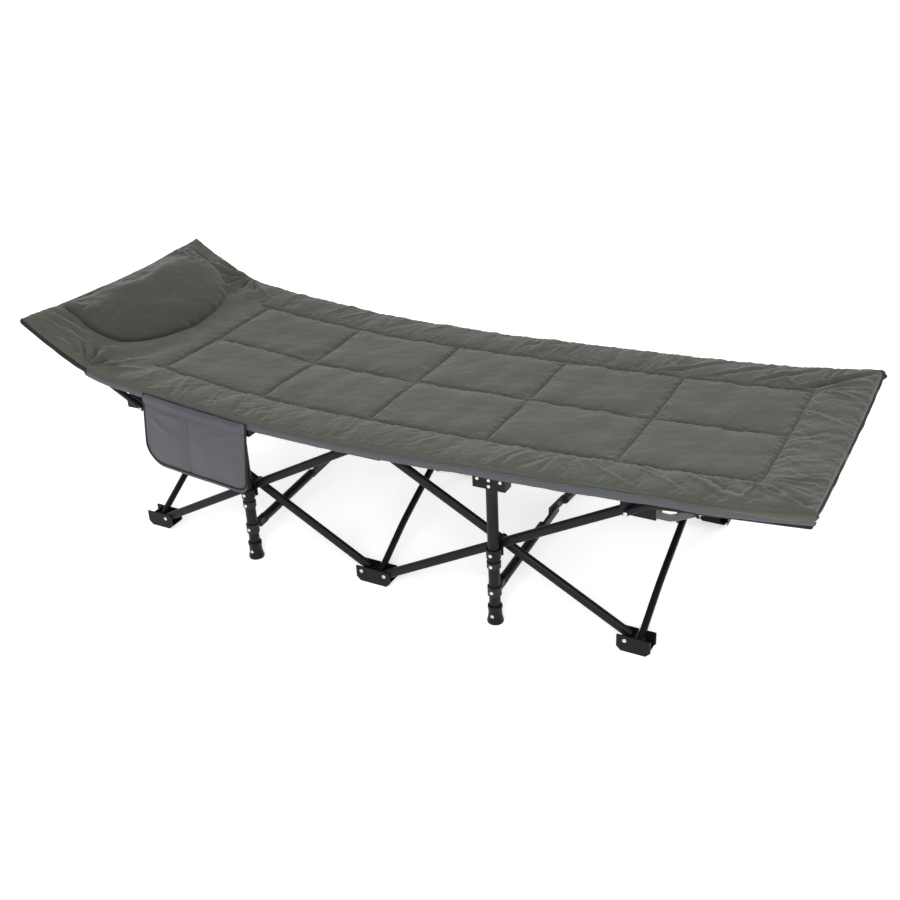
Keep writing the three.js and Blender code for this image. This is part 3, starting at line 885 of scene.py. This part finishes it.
TOP, FLAT = deck_top()
TOP[..., 0] += MID_X
TOP_NORMAL = surface_normals(TOP)
FLAT_X, FLAT_Y = FLAT[..., 0], FLAT[..., 1]
SEAM_GAP = seam_distance(FLAT_X, FLAT_Y)
UNDER = TOP.copy()
hem = smooth_step(np.abs(FLAT_Y), 0.290, 0.305) * (1 - smooth_step(FLAT_X, FOLD_X - 0.03, FOLD_X + 0.02))
UNDER[..., 2] = deck_base(FLAT_X, FLAT_Y) - PAD - HEM_DROP * hem - 0.0012 * smooth_step(SEAM_GAP, 0, 0.03)
# Painted shade: darker along the sewn seams and in the low hollows of the cloth.
SEAM_AND_HOLLOW_SHADE = np.exp(-(SEAM_GAP / 0.0028) ** 2)
HOLLOWS = TOP[..., 2] - blurred(TOP[..., 2:], 5)[..., 0]
SEAM_AND_HOLLOW_SHADE = np.maximum(SEAM_AND_HOLLOW_SHADE, 0.8 * smooth_step(-HOLLOWS, 0.0006, 0.0026))
LINE_X = FLAT[:, 0, 0]
LINE_Y = FLAT[0, :, 1]

PARTS = {
    "head": ("arm_head_inner_near", (0, 1, 0), (0, -0.318, 0.5), 0.36),
    "main_near": ("deck_near", (1, 0, 0), (MID_X, 0, 0), 0.32),
    "main_far": ("deck_far", (1, 0, 0), (MID_X, 0, 0), 0.32),
    "foot": ("arm_foot_outer_near", (0, 1, 0), (0, -0.318, 0.5), 0.36),
}


def on_deck(obj, part):
    """Puts a sewn piece on its part of the deck, so that it moves with it."""
    body, axis, anchor, keep = PARTS[part]
    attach(obj, body)
    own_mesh(obj)


def index_of(line, value):
    return int(np.argmin(np.abs(line - value)))


def deck_block(part, x0, x1, y0, y1):
    """One closed piece of the deck between grid lines, with a rolled rim on its outer sides."""
    i0, i1 = index_of(LINE_X, x0), index_of(LINE_X, x1)
    j0, j1 = index_of(LINE_Y, y0), index_of(LINE_Y, y1)
    window = (slice(i0, i1 + 1), slice(j0, j1 + 1))
    top, under = TOP[window], UNDER[window]
    nx, ny = top.shape[:2]
    count = nx * ny
    verts = [top.reshape(-1, 3), under.reshape(-1, 3)]
    normals = [TOP_NORMAL[window].reshape(-1, 3), np.tile((0.0, 0.0, -1.0), (count, 1))]
    painted_shade = [SEAM_AND_HOLLOW_SHADE[window].ravel(), np.zeros(count)]
    loop = rim_loop(nx, ny)
    flat = FLAT[window].reshape(-1, 3)[loop]
    out = np.zeros((len(loop), 3))
    out[:, 1] = np.where(np.abs(flat[:, 1]) > DECK_HALF - 1e-6, np.sign(flat[:, 1]), 0)
    out[:, 0] = np.where(flat[:, 0] > FOOT_X - 1e-6, 1, np.where(flat[:, 0] < HEAD_X + 1e-6, -1, 0))
    length = np.maximum(np.linalg.norm(out, axis=1, keepdims=True), 1e-9)
    out /= length
    previous = loop
    faces = [grid_faces(nx, ny), grid_faces(nx, ny, count, True)]
    slots = [0] * len(faces[0]) + [1] * len(faces[1])
    rows = 4
    for k in range(1, rows + 1):
        if k < rows:
            share = k / rows
            a, b = verts[0][loop], verts[1][loop]
            ring = a + (b - a) * share + out * 0.0035 * math.sin(math.pi * share)
            first = 2 * count + (k - 1) * len(loop)
            current = list(range(first, first + len(loop)))
            verts.append(ring)
            tilt = out + np.array((0, 0, 1.0)) * math.cos(math.pi * share) * 0.7 + 1e-6
            normals.append(tilt / np.linalg.norm(tilt, axis=1, keepdims=True))
            # Painted shade on the sides of the rolled rim.
            painted_shade.append(np.full(len(loop), 0.35))
        else:
            current = [n + count for n in loop]
        rim = np.array(band_faces(previous, current))
        faces.append(rim)
        slots += [0 if k <= 2 else 1] * len(rim)
        previous = current
    obj = add_object(f"deck_{part}_quilt", np.concatenate(verts), np.concatenate(faces),
                     [DECK_CLOTH, UNDER_CLOTH], slots, np.concatenate(normals))
    store_painted_shade(obj, np.concatenate(painted_shade))
    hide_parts(f"deck_{part}")
    on_deck(obj, part)


BLOCKS = {
    "head": (HEAD_X, SPLIT_HEAD, -DECK_HALF, DECK_HALF),
    "main_near": (SPLIT_HEAD, SPLIT_FOOT, -DECK_HALF, 0),
    "main_far": (SPLIT_HEAD, SPLIT_FOOT, 0, DECK_HALF),
    "foot": (SPLIT_FOOT, FOOT_X, -DECK_HALF, DECK_HALF),
}
for part, area in BLOCKS.items():
    deck_block(part, *area)


# ---- Stitches ------------------------------------------------------------------------------
def surface_at(x, y):
    """The point and normal of the deck's top at flat place (x, y)."""
    i, j = index_of(LINE_X, x), index_of(LINE_Y, y)
    return TOP[i, j], TOP_NORMAL[i, j]


def stitch_row(bm, start, end, pitch=0.0052, long=0.0034, thick=0.00045):
    """Short raised threads along a line on the deck's top."""
    steps = max(1, int(math.hypot(end[0] - start[0], end[1] - start[1]) / pitch))
    way = Vector((end[0] - start[0], end[1] - start[1], 0)).normalized()
    for k in range(steps):
        share = (k + 0.5) / steps
        x = start[0] + (end[0] - start[0]) * share
        y = start[1] + (end[1] - start[1]) * share
        point, normal = surface_at(x, y)
        normal = Vector(normal)
        middle = Vector((x + MID_X, y, point[2])) + normal * thick
        ahead = (way - normal * way.dot(normal)).normalized() * (long / 2)
        side = normal.cross(ahead).normalized() * thick * 1.4
        ring = [bm.verts.new(middle + d) for d in (side, normal * thick * 1.4, -side, -normal * thick)]
        ends = [bm.verts.new(middle + d - normal * thick) for d in (-ahead, ahead)]
        for m in range(4):
            bm.faces.new((ring[m], ring[(m + 1) % 4], ends[1]))
            bm.faces.new((ring[(m + 1) % 4], ring[m], ends[0]))


SEAMS = [((x, -SEAM_Y), (x, SEAM_Y)) for x in SEAM_X]
SEAMS += [((SEAM_X[0], 0.0), (SEAM_X[-1], 0.0))]
SEAMS += [((SEAM_X[0] - 0.02, y), (SEAM_X[-1], y)) for y in (-SEAM_Y, SEAM_Y)]
for part, (x0, x1, y0, y1) in BLOCKS.items():
    bm = bmesh.new()
    margin = 0.002
    for (ax, ay), (bx, by) in SEAMS:
        start = (max(ax, x0 + margin), max(ay, y0 + margin))
        end = (min(bx, x1 - margin), min(by, y1 - margin))
        if start[0] > end[0] + margin or start[1] > end[1] + margin:
            continue
        along_x = ax != bx
        if along_x and not y0 <= ay < y1 or not along_x and not x0 <= ax < x1:
            continue
        if along_x:
            start, end = (start[0], ay), (end[0], ay)
        else:
            start, end = (ax, start[1]), (ax, end[1])
        stitch_row(bm, start, end)
    on_deck(from_bmesh(f"deck_{part}_stitches", bm, THREAD), part)


# ---- Bands, hems and corners ---------------------------------------------------------------
def tidy_faces(obj):
    """Turns every face outwards."""
    bm = bmesh.new()
    bm.from_mesh(obj.data)
    bmesh.ops.recalc_face_normals(bm, faces=bm.faces)
    bm.to_mesh(obj.data)
    bm.free()


def thin_skin(name, outer, outward, material, thick=0.0012, painted_shade=None):
    """A closed thin piece of cloth from a grid of points on its outer side."""
    nx, ny = outer.shape[:2]
    normal = surface_normals(outer)
    if np.sum(normal * outward) < 0:
        normal = -normal
    inner = outer - normal * thick
    loop = rim_loop(nx, ny)
    faces = np.concatenate([grid_faces(nx, ny), grid_faces(nx, ny, nx * ny, True),
                            band_faces(loop, [n + nx * ny for n in loop])])
    obj = add_object(name, np.concatenate([outer.reshape(-1, 3), inner.reshape(-1, 3)]), faces, material)
    tidy_faces(obj)
    shade = np.zeros(nx * ny) if painted_shade is None else painted_shade.ravel()
    store_painted_shade(obj, np.concatenate([shade, shade]))
    sharpen(obj, 60)
    return obj


def edge_strip(name, part, path, outward, section, material, seed, taller=(1.0, 1.0)):
    """A strip sewn along a rim of the deck. section: (out, up) from the top edge to the bottom one.
    taller: how much the section is stretched in height at the start and the end of the path."""
    out = np.broadcast_to(np.array(outward, float), path.shape)
    section = np.array(section)
    share = smooth_step(np.arange(len(path)) / (len(path) - 1), 0.15, 1.0)
    stretch = taller[0] + (taller[1] - taller[0]) * share
    grid = (path[:, None, :] + out[:, None, :] * section[None, :, :1]
            + np.array((0, 0, 1.0)) * section[None, :, 1:] * stretch[:, None, None])
    along = np.concatenate([[0], np.cumsum(np.linalg.norm(np.diff(path, axis=0), axis=1))])
    depth = np.linspace(0, 1, len(section))
    ripple = wander(along[:, None], depth[None, :] * 0.03, 0.07, seed) * np.sin(np.pi * depth)
    grid = grid + out[:, None, :] * ripple[..., None] * 0.0009
    obj = thin_skin(name, grid, out[:, None, :], material)
    on_deck(obj, part)


BAND_SECTION = ((-0.0025, 0.0012), (0.0005, 0.0006), (0.0024, -0.0020), (0.0036, -0.0065),
                (0.0038, -0.0120), (0.0030, -0.0170), (0.0012, -0.0200), (-0.0040, -0.0212),
                (-0.0140, -0.0208))
HEM_SECTION = ((-0.0050, 0.0016), (0.0000, 0.0010), (0.0034, -0.0025), (0.0042, -0.0065), (0.0034, -0.0105),
               (0.0005, -0.0132), (-0.0060, -0.0140))
END_SECTION = ((-0.0030, 0.0010), (0.0004, 0.0004), (0.0030, -0.0020), (0.0038, -0.0050), (0.0030, -0.0078),
               (0.0000, -0.0096), (-0.0070, -0.0102))
FOOT_TALLER = (1.0, 1.10)
ROLL_SECTION = ((-0.0060, 0.0016), (0.0008, 0.0014), (0.0040, -0.0012), (0.0054, -0.0050),
                (0.0056, -0.0090), (0.0046, -0.0122), (0.0030, -0.0134))
ROLL_TALLER = (0.12, 1.15)
I_FOLD, I_HEAD, I_FOOT = (index_of(LINE_X, v) for v in (FOLD_X, SPLIT_HEAD, SPLIT_FOOT))
SIDE_STRIPS = (                 # name, panel, stations, section, cloth, seed, taller
    ("hem_head", "head", slice(0, I_FOLD + 3), HEM_SECTION, BINDING, 31, (1.0, 1.0)),
    ("band_head", "head", slice(I_FOLD, I_HEAD + 1), BAND_SECTION, BAND_CLOTH, 32, (1.0, 1.0)),
    ("band_main", "main", slice(I_HEAD, I_FOOT + 1), BAND_SECTION, BAND_CLOTH, 33, (1.0, 1.0)),
    ("band_foot", "foot", slice(I_FOOT, None), BAND_SECTION, BAND_CLOTH, 34, FOOT_TALLER),
    ("roll_foot", "foot", slice(I_FOOT + 2, None), ROLL_SECTION, DECK_CLOTH, 37, ROLL_TALLER))
for side, sign in SIDES:
    rim = TOP[:, 0 if sign < 0 else -1]
    for name, panel, stations, section, cloth, seed, taller in SIDE_STRIPS:
        part = f"main_{side}" if panel == "main" else panel
        edge_strip(f"{name}_{side}", part, rim[stations], (0, sign, 0), section, cloth, seed, taller)
edge_strip("hem_head_end", "head", TOP[0], (-1, 0, 0), END_SECTION, BINDING, 35)
edge_strip("hem_foot_end", "foot", TOP[-1], (1, 0, 0), END_SECTION, BINDING, 36)

CORNER_SMALL = (np.array((0.0105, 0.0125, 0.0112)), np.array((0.0135, 0.0145, 0.0080)))
CORNER_BIG = (np.array((0.0120, 0.0100, 0.0075)), np.array((0.0200, 0.0150, 0.0118)))
for side, sign in SIDES:
    for part, i, lean in (("head", 0, -1), ("foot", -1, 1)):
        corner = TOP[i, 0 if sign < 0 else -1]
        place, half = CORNER_BIG if (part, side) == ("foot", "far") else CORNER_SMALL
        bm = bmesh.new()
        bmesh.ops.create_uvsphere(bm, u_segments=28, v_segments=18, radius=1)
        for v in bm.verts:
            p = np.array(v.co)
            swell = 1 + 0.06 * float(wander(p[0] * 0.1, p[1] * 0.1 + p[2] * 0.07, 0.09, 41))
            v.co = corner + np.array((-lean, -sign, -1)) * place + p * half * swell
        cap = from_bmesh(f"corner_{part}_{side}", bm, BINDING)
        store_painted_shade(cap, np.zeros(len(cap.data.vertices)))
        on_deck(cap, part)


# ---- Pillow --------------------------------------------------------------------------------
PILLOW_BACK, PILLOW_FRONT = -0.930, -0.704
PILLOW_NEAR, PILLOW_FAR = -0.222, 0.278
PILLOW_TALL = 0.046
PILLOW_RINGS, PILLOW_TURNS = 30, 132


def deck_height(x, y):
    """Height of the deck's top at flat places, between grid lines."""
    fx = np.interp(x, LINE_X, np.arange(len(LINE_X)))
    fy = np.interp(y, LINE_Y, np.arange(len(LINE_Y)))
    i = np.clip(fx.astype(int), 0, len(LINE_X) - 2)
    j = np.clip(fy.astype(int), 0, len(LINE_Y) - 2)
    u, v = fx - i, fy - j
    z = TOP[..., 2]
    return ((z[i, j] * (1 - u) + z[i + 1, j] * u) * (1 - v)
            + (z[i, j + 1] * (1 - u) + z[i + 1, j + 1] * u) * v)


def pillow_outline(turn):
    """A D: nearly straight along the head end, round towards the sleeper."""
    power = np.where(np.cos(turn) > 0, 2.1, 9.0)
    c, s = np.abs(np.cos(turn)), np.abs(np.sin(turn))
    r = (c ** power + s ** power) ** (-1 / power)
    middle_x = PILLOW_BACK + 0.080
    reach_x = np.where(np.cos(turn) > 0, PILLOW_FRONT - middle_x, middle_x - PILLOW_BACK)
    half_y = (PILLOW_FAR - PILLOW_NEAR) / 2
    return (middle_x + r * np.cos(turn) * reach_x,
            (PILLOW_FAR + PILLOW_NEAR) / 2 + r * np.sin(turn) * half_y)


def make_pillow():
    turn = 2 * np.pi * np.arange(PILLOW_TURNS) / PILLOW_TURNS
    edge_x, edge_y = pillow_outline(turn)
    share = (np.arange(1, PILLOW_RINGS + 1) / PILLOW_RINGS) ** 0.85
    cx, cy = edge_x.mean(), edge_y.mean()
    x = cx + share[:, None] * (edge_x - cx)
    y = cy + share[:, None] * (edge_y - cy)
    low = deck_height(x, y) - 0.001
    back = 0.75 + 0.25 * smooth_step(x, PILLOW_BACK, PILLOW_BACK + 0.09)
    tall = PILLOW_TALL * back * (1 - share[:, None] ** 2) ** 0.62
    rng = np.random.default_rng(7)
    uneven = (share[:, None] < 0.97) * share[:, None]
    high = low + tall + 0.0010 * rng.standard_normal(x.shape) * uneven
    centre_low = float(deck_height(np.array([cx]), np.array([cy]))[0]) - 0.001
    verts = [(cx, cy, centre_low + PILLOW_TALL)]
    verts += list(zip(x.ravel(), y.ravel(), high.ravel()))
    base = len(verts)
    verts += [(cx, cy, centre_low)]
    verts += list(zip(x[:-1].ravel(), y[:-1].ravel(), low[:-1].ravel()))
    n, rings = PILLOW_TURNS, PILLOW_RINGS

    def ring(k, under=False):
        """Point numbers of ring k, the rim being shared."""
        first = 1 + k * n if not under or k == rings - 1 else base + 1 + k * n
        return [first + m for m in range(n)]
    faces = [(0, ring(0)[m], ring(0)[(m + 1) % n]) for m in range(n)]
    faces += [(base, ring(0, True)[(m + 1) % n], ring(0, True)[m]) for m in range(n)]
    for k in range(rings - 1):
        a, b = ring(k), ring(k + 1)
        faces += [(a[m], b[m], b[(m + 1) % n], a[(m + 1) % n]) for m in range(n)]
        a, b = ring(k, True), ring(k + 1, True)
        faces += [(a[m], a[(m + 1) % n], b[(m + 1) % n], b[m]) for m in range(n)]
    verts = np.array(verts, float)
    pins = np.zeros(len(verts), bool)
    pins[base:] = True
    pins[ring(rings - 1)] = True
    moved = run_cloth("pillow_cloth", verts, faces, pins, 4.0, 16, -0.035, 0.2) - verts
    rows = moved[1: base].reshape(rings, n, 3)
    middle = rows[rings // 3].mean(0)
    trust = smooth_step(share, 0.25, 0.6)[:, None, None]
    rows[:] = middle + (rows - middle) * trust
    moved[0] = middle
    length = np.linalg.norm(moved, axis=1, keepdims=True)
    cap = 0.014
    verts = verts + moved * cap * np.tanh(length / cap) / np.maximum(length, 1e-9)
    top = slice(0, base)
    px, py = verts[top, 0], verts[top, 1]
    ring_share = np.concatenate([[0], np.repeat(share, n)])
    body = smooth_step(1 - ring_share, 0.0, 0.10)
    gathers = np.zeros(len(px))
    rng = np.random.default_rng(17)
    for side, tip_y in ((-1, PILLOW_NEAR), (1, PILLOW_FAR)):
        for k in range(9):
            start = (PILLOW_BACK + 0.012 + 0.0125 * k, tip_y - side * 0.004)
            end = (start[0] + rng.uniform(-0.012, 0.030), tip_y - side * rng.uniform(0.05, 0.12))
            height = rng.choice((-1, 1)) * rng.uniform(0.0015, 0.0034)
            gathers += fold_line(px, py, start, end, 0.0045, height)
    verts[top, 2] += gathers * body + 0.0012 * wander(px, py, 0.11, 19) * body
    verts[:, 0] += MID_X
    obj = add_object("pillow_stuffed", verts, faces, PILLOW_CLOTH)
    tidy_faces(obj)
    # Painted shade round the rim of the pillow, where it meets the deck.
    painted_shade = np.zeros(len(verts))
    painted_shade[:base] = np.exp(-((1 - ring_share) / 0.05) ** 2)
    store_painted_shade(obj, painted_shade)
    smooth = obj.modifiers.new("smooth", "SUBSURF")
    smooth.levels = smooth.render_levels = 1
    bake(obj)
    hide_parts("pillow")
    on_deck(obj, "head")


make_pillow()


# ---- Side pocket ---------------------------------------------------------------------------
POCKET_X0, POCKET_X1 = -0.575, -0.285
POCKET_TALL = 0.178
POCKET_LEAN = 0.12              # it hangs square to the sloping edge of the deck
POCKET_ROUND = (0.050, 0.024)   # lower corners, head side and foot side
POCKET_FRONT, POCKET_BACK = -0.3412, -0.3388
POCKET_SAG = 0.0095
POCKET_HEM = 0.026
POCKET_STITCH = 0.44            # share of the width
POCKET_FOLDS = (
    ((POCKET_X0 + 0.01, 0.345), (POCKET_X0 + 0.10, 0.300), 0.0016),
    ((POCKET_X0 + 0.02, 0.352), (POCKET_X0 + 0.16, 0.335), 0.0014),
    ((POCKET_X1 - 0.01, 0.338), (POCKET_X1 - 0.10, 0.315), 0.0018),
    ((POCKET_X1 - 0.01, 0.330), (POCKET_X1 - 0.06, 0.270), 0.0012),
    ((POCKET_X0 + 0.13, 0.300), (POCKET_X0 + 0.09, 0.215), 0.0014))


def pocket_depth(x):
    """How far down the pocket reaches from the deck's edge."""
    left = np.clip(POCKET_ROUND[0] - (x - POCKET_X0), 0, POCKET_ROUND[0])
    right = np.clip(POCKET_ROUND[1] - (POCKET_X1 - x), 0, POCKET_ROUND[1])
    return (POCKET_TALL - POCKET_ROUND[0] + np.sqrt(POCKET_ROUND[0] ** 2 - left ** 2)
            - POCKET_ROUND[1] + np.sqrt(POCKET_ROUND[1] ** 2 - right ** 2))


def pocket_top(x):
    return np.interp(x, LINE_X, TOP[:, 0, 2]) - 0.0045


def on_leg(obj):
    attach(obj, "leg_head_near")
    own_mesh(obj)


def pocket_sheet(name, y_flat, sag, seed, top_drop=0.0):
    cell = 0.004
    u = np.linspace(0, 1, int((POCKET_X1 - POCKET_X0) / cell))
    v = np.linspace(0, 1, int(0.18 / cell))
    u = 0.5 - 0.5 * np.cos(np.pi * u)
    uu, vv = np.meshgrid(u, v, indexing="ij")
    x = POCKET_X0 + (POCKET_X1 - POCKET_X0) * uu
    high = pocket_top(x) - top_drop
    z = high - pocket_depth(x) * vv
    split = np.abs(uu - POCKET_STITCH)
    below = smooth_step(high - z, POCKET_HEM * 0.6, POCKET_HEM * 1.6)
    belly = np.sin(np.pi * uu) ** 0.55 * np.sin(np.pi * np.clip(0.08 + 0.92 * vv, 0, 1)) ** 0.8
    belly = belly * (1 - 0.45 * np.exp(-(split / 0.05) ** 2) * below)
    y = y_flat - sag * belly
    edge = np.minimum(np.minimum(uu, 1 - uu) * 8, np.minimum(vv * 6 + 0.2, (1 - vv) * 8)).clip(0, 1)
    y -= sag * 0.16 * wander(x, z * 0.7, 0.10, seed) * edge
    if sag:
        for start, end, height in POCKET_FOLDS:
            y -= fold_line(x, z, start, end, 0.008, height) * edge
        hem_line = np.exp(-((high - z - POCKET_HEM) / 0.0022) ** 2)
        seam_line = np.exp(-(split * (POCKET_X1 - POCKET_X0) / 0.0022) ** 2) * below
        y += 0.0010 * hem_line + 0.0010 * seam_line
        across_hem = np.clip((high - z) / POCKET_HEM, 0, 1)
        y -= 0.0034 * np.sin(np.pi * across_hem) ** 0.8 * (0.7 + 0.3 * wander(x, z, 0.12, 53))
        # Painted shade along the hem stitching and the middle seam.
        painted_shade = np.maximum(hem_line, seam_line) * 0.8
    else:
        painted_shade = np.zeros(x.shape)
    leaned = x - POCKET_LEAN * (high - z)
    grid = np.stack([leaned + MID_X, np.minimum(y, y_flat + 0.002), z], -1)
    obj = thin_skin(name, grid, np.array((0, -1.0, 0)), POCKET_CLOTH, 0.0011, painted_shade)
    on_leg(obj)
    return obj


def tube_along(bm, path, side_r, face_r, sides=10):
    """A flattened tube on a path in the plane of the pocket."""
    rings = []
    turns = [2 * math.pi * m / sides for m in range(sides)]
    for k, p in enumerate(path):
        ahead = (Vector(path[min(k + 1, len(path) - 1)]) - Vector(path[max(k - 1, 0)])).normalized()
        across = ahead.cross(Vector((0, 1, 0))).normalized()
        rings.append([bm.verts.new(Vector(p) + across * (side_r * math.cos(a))
                                   + Vector((0, face_r * math.sin(a), 0))) for a in turns])
    for a, b in zip(rings, rings[1:]):
        for m in range(sides):
            bm.faces.new((a[m], a[(m + 1) % sides], b[(m + 1) % sides], b[m]))
    bm.faces.new(rings[0][::-1])
    bm.faces.new(rings[-1])


front = pocket_sheet("pocket_front", POCKET_FRONT, POCKET_SAG, 51)
pocket_sheet("pocket_back", POCKET_BACK, 0.0, 52, 0.010)
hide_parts("side_pocket")
bm = bmesh.new()
left = [(POCKET_X0, d) for d in np.linspace(0, POCKET_TALL - POCKET_ROUND[0], 30)]
corners = []
for x0, way, radius in ((POCKET_X0, 1, POCKET_ROUND[0]), (POCKET_X1, -1, POCKET_ROUND[1])):
    turns = [math.pi / 2 * k / 14 for k in range(1, 15)]
    arc = [(x0 + way * radius * (1 - math.cos(a)), POCKET_TALL - radius * (1 - math.sin(a))) for a in turns]
    corners.append(arc if way > 0 else arc[::-1])
inner_x = np.linspace(POCKET_X0 + POCKET_ROUND[0], POCKET_X1 - POCKET_ROUND[1], 24)[1:-1]
bottom = [(x, POCKET_TALL) for x in inner_x]
right = [(POCKET_X1, d) for d in np.linspace(POCKET_TALL - POCKET_ROUND[1], 0, 34)]
outline = []
for x, depth in left + corners[0] + bottom + corners[1] + right:
    high = float(pocket_top(x))
    outline.append((x - POCKET_LEAN * depth, high - depth))
tape_y = (POCKET_FRONT + POCKET_BACK) / 2 - 0.0004
tube_along(bm, [(x + MID_X, tape_y, z) for x, z in outline], 0.0032, 0.0030)
binding = from_bmesh("pocket_binding", bm, BINDING)
store_painted_shade(binding, np.full(len(binding.data.vertices), 0.3))
on_leg(binding)


# ---- Floor, light and camera ---------------------------------------------------------------
FLOOR_TONE, FLOOR_GLOW, WORLD_GLOW = 0.97, 0.50, 0.58
LAMPS = (                       # name, place, size, power
    ("key_light", (1.4, -3.1, 2.1), 2.2, 92),
    ("fill_light", (-3.0, -0.6, 2.2), 2.4, 26),
    ("rim_light", (2.4, 2.6, 2.6), 2.0, 30))
CAMERA_TURN = (29.045, 27.464, -2.734)      # azimuth, elevation and roll, degrees
CAMERA_PLACE = (1.2635 + MID_X, -2.1870, 1.5113)
CAMERA_LENS = 46.8


def floor_and_world(scene):
    bpy.ops.mesh.primitive_plane_add(size=60, location=(0, 0, -0.0005))
    floor = bpy.context.object
    floor.name = "floor"
    paper = bpy.data.materials.new("floor_paper")
    paper.use_nodes = True
    sockets = paper.node_tree.nodes["Principled BSDF"].inputs
    sockets["Base Color"].default_value = (FLOOR_TONE, FLOOR_TONE, FLOOR_TONE, 1)
    sockets["Emission Color"].default_value = (1, 1, 1, 1)
    sockets["Emission Strength"].default_value = FLOOR_GLOW
    sockets["Roughness"].default_value = 0.9
    floor.data.materials.append(paper)
    scene.world = bpy.data.worlds.new("studio")
    scene.world.use_nodes = True
    sky = scene.world.node_tree.nodes["Background"].inputs
    sky["Color"].default_value = (1, 1, 1, 1)
    sky["Strength"].default_value = WORLD_GLOW


def lamps_and_camera(scene):
    for name, place, size, power in LAMPS:
        lamp = bpy.data.lights.new(name, "AREA")
        lamp.shape = "DISK"
        lamp.size = size
        lamp.energy = power
        obj = placed(name, lamp)
        obj.location = place
        obj.rotation_euler = (Vector((0, 0, 0.3)) - Vector(place)).to_track_quat("-Z", "Y").to_euler()
    azimuth, elevation, roll = (math.radians(a) for a in CAMERA_TURN)
    back = Vector((math.sin(azimuth) * math.cos(elevation), -math.cos(azimuth) * math.cos(elevation),
                   math.sin(elevation)))
    right = Vector((math.cos(azimuth), math.sin(azimuth), 0))
    up = back.cross(right)
    turned_right = math.cos(roll) * right + math.sin(roll) * up
    turned_up = -math.sin(roll) * right + math.cos(roll) * up
    lens = bpy.data.cameras.new("camera")
    lens.lens = CAMERA_LENS
    lens.sensor_width = 36
    camera = placed("camera", lens)
    turn = Matrix((turned_right, turned_up, back)).transposed().to_4x4()
    camera.matrix_world = Matrix.Translation(CAMERA_PLACE) @ turn
    scene.camera = camera
    scene.view_settings.view_transform = "Standard"


floor_and_world(bpy.context.scene)
lamps_and_camera(bpy.context.scene)
